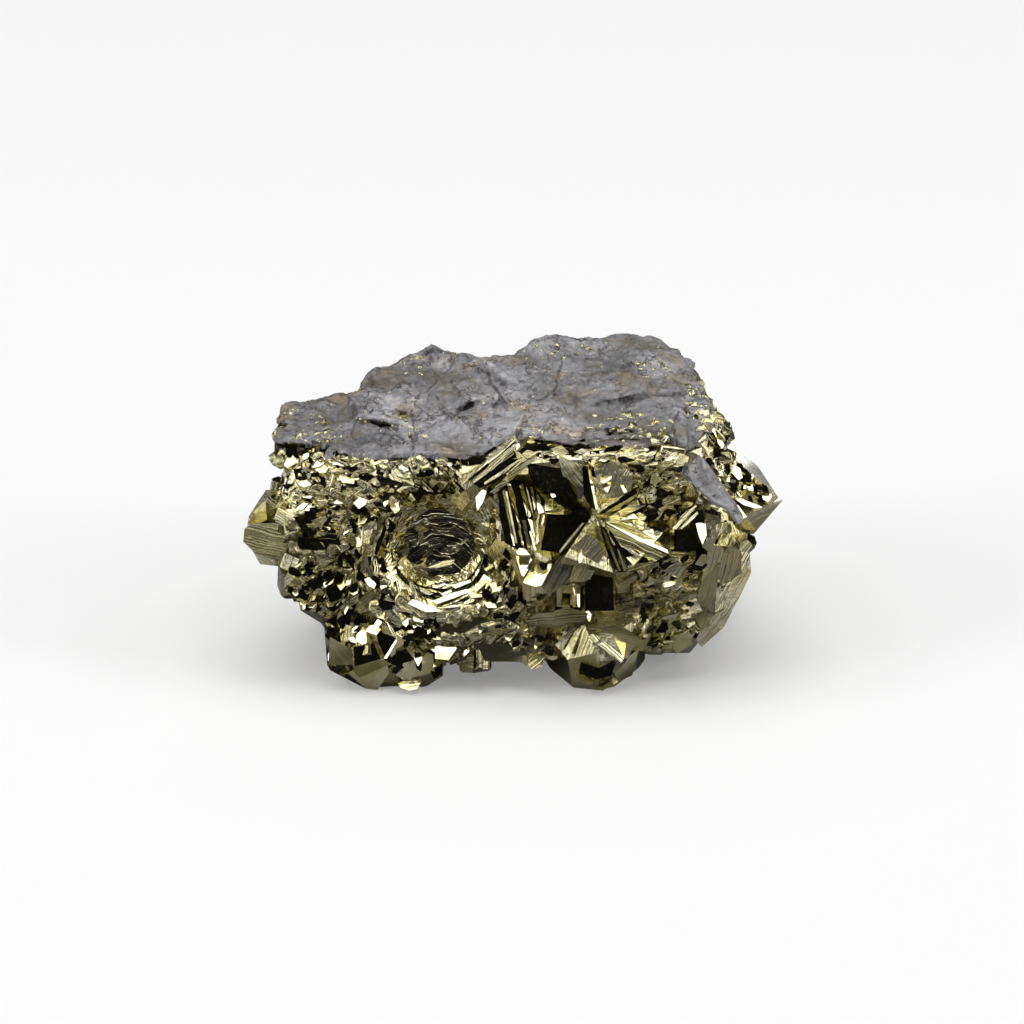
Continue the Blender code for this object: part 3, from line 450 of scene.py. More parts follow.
     -0.85))),
    ("cube_side", "olive", ((16.06, -2.95), (16.83, -3.5), (17.27, -2.06), (17.1, -0.63), (16.33,
     -0.96))),
    ("cheek_gap", "black", ((17.16, 0.15), (17.18, -2.73), (17.4, -2.73), (17.73, -0.07))),
    ("cheek_blade", "olive_bright", ((17.44, -2.73), (17.82, -2.56), (18.62, -1.62), (18.71, -0.74),
     (17.73, -0.96))),
    ("cheek_line", "bright", ((18.18, -1.68), (18.46, -1.79), (18.6, -0.9), (18.18, -0.68))),
    ("cheek_line_2", "bright", ((18.04, -3.39), (18.46, -3.61), (18.99, -2.39), (18.71, -2.17))),
    ("arc_1", "bright", ((13.46, -1.34), (13.79, -1.51), (15.56, 0.46), (15.45, 0.64), (14.4, -0.18))),
    ("arc_2", "olive", ((13.07, -0.96), (13.4, -1.23), (15.34, 0.75), (14.73, 0.92), (13.96, 0.26))),
    ("arc_3", "bright", ((14.12, -1.34), (14.29, -1.45), (15.06, -0.74), (15.67, -0.13), (15.56, 0.04),
     (14.84, -0.63))),
    ("tip_facet", "olive", ((18.98, -1.51), (19.59, -2.12), (20.58, -1.84), (22.96, 1.03), (21.47,
     0.48), (18.98, -0.74))),
    ("tip_glint_1", "bright", ((18.82, 1.25), (19.81, 0.59), (20.81, 0.31), (21.36, 0.42), (19.59,
     1.14))),
    ("tip_glint_2", "bright", ((18.82, 0.31), (18.87, -0.41), (19.31, -0.65), (19.92, -0.41), (19.2,
     0.59))),
    ("tip_glint_3", "olive_bright", ((19.7, 0.26), (19.92, -0.18), (20.64, 0.09), (20.53, 0.31))),
    ("tip_glint_4", "bright", ((21.36, 1.42), (21.47, 1.09), (21.85, 0.86), (22.24, 1.36), (21.97,
     1.69))),
    ("tip_shade", "black", ((17.71, 2.13), (18.15, 1.14), (18.71, 0.37), (19.04, 0.59), (18.6, 1.47))),
    ("foot_facet", "olive", ((-14.08, -13.8), (-12.54, -15.14), (-11.52, -15.26), (-10.55, -13.8),
     (-10.67, -12.88), (-12.98, -13.12))),
    ("foot_left", "grey", ((-15.7, -13.12), (-13.59, -13.02), (-13.76, -11.62), (-15.51, -10.64))),
    ("foot_dark", "black", ((-13.52, -11.49), (-13.42, -13.17), (-11.23, -12.54), (-11.77, -11.18))),
    ("foot_glint_1", "bright", ((-13.27, -11.01), (-12.74, -11.27), (-11.96, -11.08), (-12.54, -9.87),
     (-13.23, -10.4))),
    ("foot_glint_2", "bright", ((-15.02, -13.68), (-14.59, -14.14), (-14.05, -13.85), (-14.49,
     -13.36))),
    ("rhomb_face", "black", ((-11.65, -9.62), (-11.4, -11.13), (-10.75, -12.39), (-9.87, -10.76),
     (-10.99, -8.65))),
    ("rhomb_edge_1", "bright", ((-11.09, -8.7), (-9.87, -10.89), (-9.68, -10.74), (-10.89, -8.55))),
    ("rhomb_edge_2", "bright", ((-10.89, -12.44), (-10.65, -12.49), (-9.68, -10.79), (-9.87, -10.79))),
    ("rhomb_edge_3", "bright", ((-11.69, -9.48), (-11.43, -9.87), (-10.89, -9.18), (-11.09, -8.65))),
    ("second_foot_black", "black", ((-10.7, -12.73), (-10.07, -13.12), (-8.61, -12.73), (-6.96, -11.62),
     (-8.12, -10.69), (-9.53, -11.03))),
    ("second_foot_pale", "grey", ((-9.34, -14.29), (-7.88, -14.05), (-6.62, -13.61), (-6.81, -11.52))),
    ("second_foot_glint", "bright", ((-9.77, -14.65), (-9.53, -15.02), (-8.8, -15.26), (-8.12, -15.14),
     (-7.73, -14.48), (-9.09, -14.29))),
    ("gold_crystal", "bright", ((-6.54, -12.49), (-5.4, -12.59), (-4.72, -11.62), (-5.21, -10.79),
     (-6.54, -11.13))),
    ("ledge_olive", "olive", ((-4.48, -12.64), (0.87, -12.83), (0.92, -11.74), (-2.05, -10.93), (-3.5,
     -11.18))),
    ("ledge_glint", "bright", ((-4.28, -12.05), (-4.11, -12.34), (-3.26, -11.49), (-3.38, -11.25))),
    ("small_crystal", "bright", ((1.31, -12.95), (1.65, -13.46), (2.62, -13.12), (2.81, -11.98), (2.33,
     -11.74))),
    ("small_shade", "olive", ((1.26, -12.47), (1.48, -12.83), (2.45, -11.74), (1.96, -11.74))),
    ("front_left_stripe", "bright", ((4.42, -11.96), (5.05, -12.05), (5.97, -9.87), (5.58, -9.72))),
    ("front_left_stripe_2", "olive_bright", ((3.59, -11.37), (4.27, -11.71), (5.44, -9.87), (5.2,
     -9.77))),
    ("front_top_glint", "bright", ((6.58, -9.38), (7.07, -9.72), (7.38, -9.18), (7.07, -8.89))),
    ("front_band", "bright", ((6.58, -10.84), (9.28, -12.83), (9.57, -12.39), (6.99, -10.35), (6.65,
     -10.45))),
    ("front_right", "grey", ((7.19, -9.96), (9.52, -12.39), (10.4, -11.57), (11.03, -10.89), (9.13,
     -9.48))),
    ("front_dark", "black", ((5.73, -13.75), (7.24, -14.29), (8.45, -14), (8.89, -12.83), (6.51,
     -11.91), (5.85, -12.88))),
    ("front_lower_right", "olive", ((8.77, -13.92), (9.13, -14.53), (10.3, -14), (10.83, -11.66), (9.67,
     -12.59))),
    ("front_white", "bright", ((7.31, -15.11), (7.72, -15.31), (9.13, -14.53), (8.89, -14.05))),
    ("front_left_glint", "bright", ((5.49, -14.09), (6.46, -14.82), (6.99, -14.65), (6.12, -13.85))),
    ("white_wedge", "bright", ((1.55, -8.02), (1.6, -8.7), (3.59, -8.5), (3.69, -7.87))),
    ("olive_plate", "grey", ((1.02, -9.48), (3.59, -9.96), (6.22, -9.23), (6.51, -8.6), (4.76, -8.09),
     (1.89, -8.75))),
    ("middle_plate", "grey", ((-7.03, -9.96), (-6.62, -10.69), (-4.43, -10.4), (-1.95, -9.09), (-3.02,
     -8.99))),
    ("lower_right_facet", "grey", ((13.51, -10.69), (14.04, -12.2), (15.45, -11.37), (15.16, -10.16))),
    ("nose_face", "lined_olive", ((-22.83, -2.52), (-21.82, -3.52), (-19.24, -4.39), (-17.52, -2.81),
     (-19.38, -0.94), (-21.82, -0.94), (-22.68, -1.37))),
    ("nose_top", "grey", ((-22.4, -0.94), (-21.82, -1.16), (-20.82, -0.65), (-20.96, 0.93), (-21.68,
     0.35))),
    ("grey_grain_face", "grey", ((-12.92, -7.4), (-12.35, -8.41), (-11.41, -8.12), (-11.2, -7.04),
     (-12.06, -6.68))),
    ("lower_left_glint", "bright", ((-17.44, -6.11), (-17.37, -6.43), (-16.8, -6.47), (-16.37, -6.18),
     (-16.94, -5.82))),
    ("crescent", "black", ((-11.92, -2.81), (-11.77, -3.52), (-11.41, -3.6), (-10.48, -1.08), (-10.8,
     -0.72), (-11.48, -1.51))),
    ("right_side_1", "pale", ((17.32, -8.66), (19.31, -7.62), (20.44, -5.2), (20.26, -3.12), (17.67,
     -4.16))),
    ("right_side_2", "pale", ((15.76, -10.91), (16.28, -11.6), (18.19, -9.87), (19.31, -7.62), (16.8,
     -9.09))),
    ("right_side_3", "olive", ((15.41, -8.66), (16.28, -10.22), (17.23, -8.66), (17.67, -4.33), (16.28,
     -5.46))),
)

# Small faces over the front, in the zones of the grains below: how many for each grain, length, width as
# a share of it, and how the looks are shared out.
GLINT_LENGTHS = (0.5, 2.0)
GLINT_WIDTHS = (0.25, 0.7)
GLINT_STEEPEST = 0.25
# Black ones stand for recesses and are this much longer and wider.
RECESS_LENGTH = 1.15
RECESS_WIDTH = 1.5
GLINT_LOOKS = ("bright", "olive_bright", "black", "olive", "grey", "brown")
# How many small faces there are for each grain of a zone, and how often they have each look.
GLINT_MIXES = {
    "glittering": (2.2, (28, 7, 40, 12, 5, 8)),
    "mixed": (0.8, (12, 12, 30, 28, 7, 11)),
    "dark": (1.8, (8, 9, 34, 28, 6, 15)),
    "shaded": (0.8, (6, 8, 38, 30, 6, 12)),
}
ZONE_MIXES = {
    "left_block": "glittering", "right_block": "glittering", "lower_left": "glittering",
    "left_feet": "glittering", "under_right_crust": "dark", "upper_right": "dark", "upper_left": "dark",
    "left_slope": "dark", "left_of_blades": "dark", "hollow_rim": "shaded", "left_streaks": "shaded",
    "left_knot": "shaded",
}

# Grains on the front, small blades that lie along the surface. Each zone is a window in the front view,
# left, right, bottom and top from the view's middle, then the number of grains, their half lengths, how
# far they sink, as a share of that, the bearing they follow and how far they stray from it. They can
# also lie round the hollow, or point away from the star.
ROUND_HOLLOW, FROM_STAR = "round the hollow", "from the star"
GRAIN_ZONES = (
    ("left_block", (-20.0, -14.4, -0.7, 6.0), 80, (0.3, 1.1), 0.22, 8, 60),
    ("upper_left", (-14.4, -9.4, 2.4, 5.0), 70, (0.3, 0.9), 0.25, 20, 60),
    ("left_of_blades", (-9.4, -4.4, 1.6, 5.0), 45, (0.4, 1.3), 0.25, -55, 25),
    ("left_slope", (-16.8, -10.0, -1.0, 2.6), 60, (0.3, 1.0), 0.25, -30, 50),
    ("left_streaks", (-19.4, -14.8, -3.4, -0.2), 120, (0.4, 1.4), 0.2, -12, 14),
    ("left_knot", (-15.6, -12.6, -3.6, -0.8), 45, (0.3, 1.0), 0.25, 60, 30),
    ("lower_left", (-18.6, -13.4, -9.4, -4.0), 90, (0.3, 1.1), 0.25, 60, 50),
    ("hollow_rim", (-13.0, 0.0, -9.6, 1.4), 300, (0.4, 1.3), 0.26, ROUND_HOLLOW, 16),
    ("below_hollow", (-11.6, 2.6, -11.4, -7.6), 170, (0.35, 1.3), 0.25, ROUND_HOLLOW, 24),
    ("bottom", (-7.4, 3.6, -13.6, -10.6), 90, (0.3, 1.0), 0.3, 20, 50),
    ("left_feet", (-15.8, -6.0, -13.6, -9.0), 70, (0.3, 0.9), 0.35, 70, 60),
    ("under_right_crust", (-0.6, 14.4, 4.2, 6.0), 70, (0.2, 0.7), 0.35, 5, 30),
    ("upper_right", (6.4, 14.4, 1.6, 5.4), 80, (0.3, 1.2), 0.25, 10, 40),
    ("right_of_star", (8.6, 14.6, -1.8, 1.8), 70, (0.3, 1.2), 0.25, FROM_STAR, 20),
    ("right_block", (16.2, 22.0, 0.4, 7.4), 120, (0.3, 1.2), 0.22, -48, 30),
    ("right_corner", (14.8, 18.2, 5.4, 10.0), 70, (0.3, 1.0), 0.25, -60, 40),
    ("lower_right", (10.6, 16.4, -11.6, -4.0), 190, (0.35, 1.3), 0.25, 30, 28),
    ("right_side", (15.8, 20.8, -11.5, -2.0), 30, (0.3, 0.9), 0.5, 60, 40),
    ("between", (-1.6, 8.0, -9.6, -6.0), 40, (0.3, 0.9), 0.35, FROM_STAR, 40),
)
GRAIN_FORMS = 28
GRAIN_WIDTHS = (0.35, 0.75)
GRAIN_DEPTHS = (0.3, 0.6)
GRAIN_TILT = 0.34
GRAIN_SEED = 900
HOLLOW_BARE = 4.9
CRUST_CLEAR = 0.35

# Pyrite that shows through the crust, in the same terms.
CRUST_GRAIN_ZONES = (
    ("left_specks", (-18.4, -15.8, 6.6, 8.4), 30, (0.12, 0.4), 0.55, 20, 90),
    ("left_edge", (-20.2, -16.0, 5.0, 6.6), 16, (0.2, 0.6), 0.5, 60, 60),
    ("pit_specks", (-16.4, -14.4, 5.9, 7.6), 20, (0.12, 0.4), 0.5, 0, 60),
    ("slit_specks", (-13.0, -8.0, 6.8, 8.2), 26, (0.12, 0.4), 0.5, 0, 60),
    ("pale_patch", (-0.2, 3.0, 5.4, 7.6), 22, (0.15, 0.45), 0.6, 40, 60),
    ("right_ledges", (6.6, 13.4, 5.9, 8.4), 90, (0.2, 0.6), 0.62, 5, 14),
    ("back_specks", (2.0, 7.0, 13.2, 15.0), 36, (0.12, 0.4), 0.55, 0, 90),
    ("peak_specks", (-9.6, -5.0, 11.4, 14.2), 40, (0.1, 0.4), 0.7, 20, 60),
    ("right_corner", (15.0, 17.4, 7.0, 11.4), 70, (0.2, 0.7), 0.5, 60, 50),
    ("back_right_specks", (11.0, 14.4, 11.6, 13.0), 20, (0.12, 0.4), 0.55, -20, 40),
    ("scattered", (-19.0, 16.0, 6.0, 15.0), 70, (0.08, 0.25), 0.5, 0, 180),
)

# Grains on the other sides, aimed at the cluster as the studs are.
FAR_GRAINS = 2600
FAR_GRAIN_RADII = (0.3, 1.2)
FAR_GRAIN_SINK = 0.3
FAR_GRAIN_TOP = 20.6
FAR_GRAIN_SEED = 77

# The fine shape of the crust.
CRUST_VOXEL = 0.17
CRUST_ROUNDING = 4
UNDER_CRUST = 0.6
MASS_TOP = 19.8
# The low peak at the back: its top, and its faces as tilt from the vertical and bearing in plan.
PEAK = ((-7.1, 11.4, 24.0), ((29, 178), (30, 2), (48, 262), (40, 85), (40, 220), (42, 320)))
PEAK_DEPTH = 3.2
# Slopes laid over the plates at the back: outline in the front view, how the face leans, depth.
CRUST_RISES = (
    ("left_shoulder", ((-20.3, 6.9), (-16.0, 8.0), (-13.0, 9.2), (-13.2, 10.55), (-14.0, 10.4),
     (-18.2, 10.4), (-19.5, 9.9), (-20.4, 8.7)), (61, 92), 6.0),
    ("peak_slope", ((-14.1, 9.8), (-10.5, 9.6), (-6.0, 12.4), (-5.9, 14.2), (-7.2, 14.8), (-8.7, 14.15),
     (-10.6, 13.2), (-11.9, 12.3), (-13.7, 10.6)), (57, 96), 6.0),
)
RISE_BASE = 0.9
# Cracks in the crust, as lines in the front view: start, end, width, depth.
CRACKS = (
    ((-13.2, 7.85), (-9.6, 7.1), 1.1, 3.0),
    ((-8.4, 8.3), (-8.2, 4.9), 0.4, 1.0),
    ((-5.0, 8.3), (-2.9, 9.6), 0.9, 3.0),
    ((-5.8, 11.9), (-5.2, 13.2), 0.4, 0.9),
    ((-8.3, 9.9), (-6.3, 11.5), 0.4, 0.9),
    ((-5.4, 11.4), (-4.4, 9.9), 0.4, 0.9),
    ((-1.7, 10.8), (-0.3, 9.2), 0.4, 0.9),
    ((-2.2, 12.6), (-1.8, 11.1), 0.5, 0.9),
    ((-9.4, 11.5), (-8.7, 10.8), 0.3, 0.6),
    ((3.6, 10.2), (4.6, 14.0), 0.4, 0.9),
    ((6.0, 7.1), (12.8, 6.5), 0.7, 2.0),
    ((7.0, 6.1), (13.6, 5.9), 0.6, 2.0),
    ((-0.4, 5.4), (1.2, 8.2), 0.4, 0.8),
    ((14.0, 8.6), (13.2, 5.6), 0.4, 0.8),
)
# Painted shade in the cut cracks: how far it reaches from a crack's line, as a share of the crack's width plus half a
# millimetre.
CRACK_SHADE_REACH = 0.16
# Pale and dark patches of the crust: middle and half sizes in the front view, how much lighter. Most are its own tone;
# the pale ones near its front edge are painted light as well, where the crust faces the light above.
CRUST_PATCHES = (
    ((0.0, 9.1), (1.4, 2.1), 0.40),
    ((3.3, 7.4), (1.9, 1.5), 0.55),
    ((-4.4, 6.1), (3.8, 1.3), 0.35),
    ((-11.4, 6.1), (2.6, 1.0), -0.30),
    ((-9.2, 12.0), (2.4, 1.4), -0.25),
    ((-16.8, 8.4), (3.0, 1.0), -0.20),
    ((9.7, 12.8), (1.7, 1.1), -0.35),
    ((5.2, 14.2), (2.0, 0.9), -0.25),
    ((-1.5, 12.2), (1.2, 0.9), 0.15),
)
# The round pit in the crust: place in the front view, radius, depth.
PIT = ((-14.5, 6.6), 1.1, 1.0)



def facing(tilt, bearing):
    """Unit normal that leans from the front by tilt, towards a bearing: 0 is right, 90 is up."""
    lean, turn = math.radians(tilt), math.radians(bearing)
    return math.cos(lean) * FRONT + math.sin(lean) * (math.cos(turn) * RIGHT + math.sin(turn) * UP)


def turned(degrees):
    """The rotation of turns about X, Y and Z."""
    return Euler([math.radians(d) for d in degrees]).to_matrix().to_4x4()


def cut_flat(bm, point, normal):
    """Cuts a convex solid with a plane, drops what lies outside it and closes the cut."""
    geometry = bm.verts[:] + bm.edges[:] + bm.faces[:]
    cut = bmesh.ops.bisect_plane(
        bm, geom=geometry, dist=1e-6, plane_co=point, plane_no=normal, clear_outer=True
    )
    rim = [e for e in cut["geom_cut"] if isinstance(e, bmesh.types.BMEdge)]
    if len(rim) > 2:
        bmesh.ops.edgeloop_fill(bm, edges=rim)


def convex_solid(planes, half):
    """What is left of a block of these half sizes inside planes given as (normal, distance)."""
    bm = bmesh.new()
    bmesh.ops.create_cube(bm, size=2.0)
    bmesh.ops.scale(bm, vec=half, verts=bm.verts)
    for normal, distance in planes:
        cut_flat(bm, normal * distance, normal)
    return bm


def form_faces(form):
    """The faces of a pyrite crystal form, as (normal, distance) for a radius of 1."""
    cube = [Vector(n) for s in (1, -1) for n in ((s, 0, 0), (0, s, 0), (0, 0, s))]
    pentagons = [
        Vector(n).normalized()
        for s in (1, -1)
        for t in (1, -1)
        for n in ((s, 2 * t, 0), (0, s, 2 * t), (2 * t, 0, s))
    ]
    if form == "cube":
        return [(n, 1.0) for n in cube]
    if form == "modified_cube":
        return [(n, 0.94) for n in cube] + [(n, 1.1) for n in pentagons]
    return [(n, 1.0) for n in pentagons]


def growth_axis(normal):
    """The axis that striations follow on a pyrite face: the next one round from the face's own."""
    own = max(range(3), key=lambda k: abs(normal[k]))
    return Vector([1.0 if k == (own + 1) % 3 else 0.0 for k in range(3)])


def line_up(bm, kind, seed, along=None, own=None):
    """Gives each face a place across its striations, in millimetres, and its kind plus its own share."""
    rng = random.Random(seed)
    lines = bm.loops.layers.uv.new(LINES)
    for face in bm.faces:
        face.normal_update()
        guide = along if along is not None else growth_axis(face.normal)
        across = face.normal.cross(guide)
        if across.length < 0.05:
            across = face.normal.orthogonal()
        across.normalize()
        start = rng.uniform(0.0, 50.0)
        share = kind + (rng.uniform(0.05, 0.95) if own is None else own)
        for loop in face.loops:
            loop[lines].uv = (loop.vert.co.dot(across) + start, share)


def placed(bm, name, matrix, group, kind=CLEAN, along=None, own=None):
    """Moves a solid into place and gives it an object in a collection."""
    line_up(bm, kind, name, along, own)
    bmesh.ops.transform(bm, matrix=matrix, verts=bm.verts)
    mesh = bpy.data.meshes.new(name)
    bm.to_mesh(mesh)
    bm.free()
    solid = bpy.data.objects.new(name, mesh)
    group.objects.link(solid)
    return solid


def break_edges(bm, seed, faces, fullness):
    """Breaks the edges and corners off a convex solid about the origin with flat faces."""
    rng = random.Random(seed)
    for _ in range(faces):
        normal = Vector([rng.gauss(0.0, 1.0) for _ in range(3)]).normalized()
        reach = max(normal.dot(v.co) for v in bm.verts)
        cut_flat(bm, normal * reach * rng.uniform(*fullness), normal)


def mass(name, centre, half, turn, seed, cuts, group):
    """A rough block of pyrite."""
    bm = convex_solid([(facing(90, bearing), distance) for bearing, distance in cuts], half)
    break_edges(bm, seed, MASS_FACES, MASS_FULLNESS)
    return placed(bm, name, Matrix.Translation(centre) @ turned((0, 0, turn)), group, ROUGH)


def crust_plate(name, outline, bottom, top, slope, seed, group):
    """A plate of crust: a prism with a sloping top and broken edges."""
    middle = sum((Vector((x, y, 0.0)) for x, y in outline), Vector()) / len(outline)
    middle.z = (bottom + top) / 2
    up = Vector((-slope[0], -slope[1], 1.0)).normalized()
    planes = [(up, (top - bottom) / 2)]
    for (x0, y0), (x1, y1) in zip(outline, outline[1:] + outline[:1]):
        side = Vector((y1 - y0, x0 - x1, 0.0)).normalized()
        planes.append((side, side.dot(Vector((x0, y0, middle.z)) - middle)))
    planes.append((Vector((0.0, 0.0, -1.0)), (top - bottom) / 2))
    bm = convex_solid(planes, (PLATE_HALF, PLATE_HALF, (top - bottom) / 2 + PLATE_MARGIN))
    break_edges(bm, seed, PLATE_FACES, PLATE_FULLNESS)
    return placed(bm, name, Matrix.Translation(middle), group, ROUGH)


def surface_point(tree, start, way):
    """Where a ray meets the cluster, and the direction the surface faces there."""
    point, normal, _, _ = tree.ray_cast(start, way)
    return point, normal


def chips(tree, group):
    """Low flat chips on the top of the crust."""
    rng = random.Random(CHIP_SEED)
    (left, right), (front, back) = CHIP_AREA
    for k in range(CHIP_COUNT):
        above = Vector((rng.uniform(left, right), rng.uniform(front, back), TRIM_HALF))
        radius = rng.uniform(*CHIP_RADII)
        rise = rng.uniform(*CHIP_RISE) * CHIP_FLATTER
        turn = rng.uniform(0, 360)
        point, _ = surface_point(tree, above, Vector((0.0, 0.0, -1.0)))
        if point is None or point.z < CHIP_LOWEST or point.y > CHIP_BACK[0] + CHIP_BACK[1] * point.x:
            continue
        bm = convex_solid([], (radius * 1.5, radius, rise + CHIP_ROOT))
        break_edges(bm, CHIP_SHAPE_SEED + k, CHIP_FACES, MASS_FULLNESS)
        sunk = Matrix.Translation(point - Vector((0.0, 0.0, CHIP_ROOT)))
        placed(bm, f"chip_{k}", sunk @ turned((*CHIP_LEAN, turn)), group)


def form_crystal(name, form, centre, radius, turns, group):
    """A crystal of a standard form."""
    bm = convex_solid([(n, d * radius) for n, d in form_faces(form)], [1.5 * radius] * 3)
    return placed(bm, name, Matrix.Translation(centre) @ turned(turns), group, LINED)


def cut_crystal(name, heart, back, faces, group):
    """A crystal whose faces lean from the front."""
    planes = [(facing(tilt, bearing), distance) for tilt, bearing, distance in faces]
    planes.append((-FRONT, back))
    bm = convex_solid(planes, [3.0 * back] * 3)
    return placed(bm, name, Matrix.Translation(heart), group, LINED)


def star_blade(name, start, end, reach, face, group):
    """A blade of the star: a wedge between two bearings with a leaning face and a bevelled tip."""
    tilt, bearing, distance = face
    middle = (start + end) / 2
    planes = [
        (facing(90, start - 90), BLADE_SIDE),
        (facing(90, end + 90), BLADE_SIDE),
        (facing(tilt, bearing), distance),
        (facing(BLADE_BEVEL[0], middle), reach * BLADE_BEVEL[1]),
        (facing(BLADE_END_TILT, middle), reach),
        (-FRONT, STAR_BACK),
    ]
    bm = convex_solid(planes, [reach * 1.5] * 3)
    return placed(bm, f"star_{name}", Matrix.Translation(STAR_CENTRE), group, LINED, facing(90, middle))


def facet(name, look, outline, tree, laid, group, laid_over=True):
    """One face of a crystal, as a slab that stands a little proud of the surface and of the faces laid."""
    rng = random.Random(name)
    tilt, bearing, kind, share = LOOKS[look]
    longest = max(((a, b) for a in outline for b in outline), key=lambda pair: math.dist(*pair))
    run, rise = (b - a for a, b in zip(*longest))
    along = (run * RIGHT + rise * UP).normalized()
    across = along.cross(FRONT)
    reach = [p[0] * across.dot(RIGHT) + p[1] * across.dot(UP) for p in outline]
    if look in LIT_LOOKS and math.hypot(run, rise) > SLIM * (max(reach) - min(reach)):
        bearing = (math.degrees(math.atan2(rise, run)) + 90) % 180
    tilt += rng.uniform(-FACET_SWAY, FACET_SWAY)
    bearing += rng.uniform(-FACET_SWAY, FACET_SWAY)
    normal = facing(tilt, bearing)
    slope = (-normal.dot(RIGHT) / normal.dot(FRONT), -normal.dot(UP) / normal.dot(FRONT))
    middle = (sum(p[0] for p in outline) / len(outline), sum(p[1] for p in outline) / len(outline))
    heights = []
    for corner in (middle,) + tuple(outline):
        spot = ((5 * corner[0] + middle[0]) / 6, (5 * corner[1] + middle[1]) / 6)
        point, _ = view_ray(tree, *spot)
        ground = [(point - VIEW_MIDDLE).dot(FRONT)] if point is not None else []
        ground += [plane(*spot) for below, plane in laid if in_outline(*spot, below)]
        if ground:
            heights.append(max(ground) - slope[0] * (spot[0] - middle[0]) - slope[1] * (spot[1] - middle[1]))
    if not heights:
        return
    heights.sort()
    depth = heights[int(FACET_GROUND * len(heights))]
    if look in RAISED_LOOKS and laid_over:
        depth = min(heights[-1], depth + FACET_RAISE)
    depth += FACET_LIFT
    laid.append((outline, lambda x, y: depth + slope[0] * (x - middle[0]) + slope[1] * (y - middle[1])))
    bm = view_prism(outline, middle, (tilt, bearing), FACET_DEPTH)
    place = VIEW_MIDDLE + middle[0] * RIGHT + middle[1] * UP + depth * FRONT
    placed(bm, name, Matrix.Translation(place), group, kind, along, share)


def glints(tree, crust_tree, group):
    """Many small faces over the front, in the zones of the grains, clear of the single faces."""
    for name, (left, right, low, high), count, _, _, follow, stray in GRAIN_ZONES:
        rng = random.Random("glints " + name)
        share, weights = GLINT_MIXES[ZONE_MIXES.get(name, "mixed")]
        for k in range(round(count * share)):
            across, up = rng.uniform(left, right), rng.uniform(low, high)
            length = rng.uniform(*GLINT_LENGTHS) * rng.uniform(0.5, 1.0)
            width = length * rng.uniform(*GLINT_WIDTHS)
            lean = math.radians(heading(follow, across, up) + rng.gauss(0.0, stray * 0.6))
            angles = sorted(rng.uniform(0.0, 1.0) + n * 2 * math.pi / 5 for n in range(5))
            look = rng.choices(GLINT_LOOKS, weights)[0]
            if look == "black":
                length *= RECESS_LENGTH
                width *= RECESS_WIDTH
            if math.dist((across, up), HOLLOW_VIEW) < HOLLOW_BARE:
                continue
            if any(in_outline(across, up, entry[2]) for entry in FACETS):
                continue
            point, normal = view_ray(tree, across, up)
            cover, _ = view_ray(crust_tree, across, up)
            if point is None or normal.dot(FRONT) < GLINT_STEEPEST:
                continue
            if cover is not None and (cover - point).dot(FRONT) > -CRUST_CLEAR:
                continue
            outline = []
            for angle in angles:
                x, y = math.cos(angle) * length / 2, math.sin(angle) * width / 2
                outline.append((across + x * math.cos(lean) - y * math.sin(lean),
                                up + x * math.sin(lean) + y * math.cos(lean)))
            if all(view_ray(tree, *corner)[0] is not None for corner in outline):
                facet(f"glint_{name}_{k}", look, tuple(outline), tree, [], group, False)


def hollow_ledge(index, group):
    """One ledge of the hollow: an uneven bowl-sided disc that reaches from the front to its depth."""
    rng = random.Random(HOLLOW_SEED + index)
    depth = HOLLOW_FIRST_DEPTH + index * HOLLOW_STEP_DOWN * rng.uniform(0.85, 1.15)
    radius = HOLLOW_RADIUS - index * HOLLOW_STEP_IN
    axis = facing(*HOLLOW_AXIS)
    rise = RIGHT.cross(axis).normalized()
    centre = HOLLOW_MOUTH + index * HOLLOW_SHIFT
    waves = [(rng.uniform(*HOLLOW_WAVES), rng.uniform(0, 6.28), n) for n in (2, 3, 5, 7)]
    bm = bmesh.new()
    rings = []
    for level, grow in ((HOLLOW_FRONT, depth + HOLLOW_RIM), (HOLLOW_RIM, depth + HOLLOW_RIM), (-depth, 0.0)):
        ring = []
        for k in range(HOLLOW_SIDES):
            angle = 2 * math.pi * k / HOLLOW_SIDES
            uneven = 1.0 + sum(size * math.sin(n * angle + phase) for size, phase, n in waves)
            out = radius * uneven + grow * HOLLOW_FLARE
            ring.append(bm.verts.new(
                centre + out * (math.cos(angle) * RIGHT + math.sin(angle) * rise) + level * axis))
        rings.append(ring)
    for upper, lower in zip(rings, rings[1:]):
        for k in range(HOLLOW_SIDES):
            m = (k + 1) % HOLLOW_SIDES
            bm.faces.new((upper[k], upper[m], lower[m]))
            bm.faces.new((upper[k], lower[m], lower[k]))
    bm.faces.new(rings[0])
    bm.faces.new(rings[-1])
    bmesh.ops.recalc_face_normals(bm, faces=bm.faces)
    return placed(bm, f"hollow_ledge_{index}", Matrix.Identity(4), group, RINGED)


def on_rounded_box(k, count):
    """The k-th of a spiral of points on the rounded box round the cluster, and the way it faces."""
    height = 1.0 - 2.0 * (k + 0.5) / count
    ring = math.sqrt(1.0 - height * height)
    turn = math.pi * (3.0 - math.sqrt(5.0)) * k
    way = Vector((ring * math.cos(turn), ring * math.sin(turn), height))
    boxy = sum(abs(c) ** 4 for c in way) ** 0.25
    start = STUD_MIDDLE + Vector([c / boxy * h for c, h in zip(way, STUD_SPREAD)])
    aim = Vector([c**3 / h for c, h in zip(way, STUD_SPREAD)]).normalized()
    return start + aim * STUD_REACH, aim


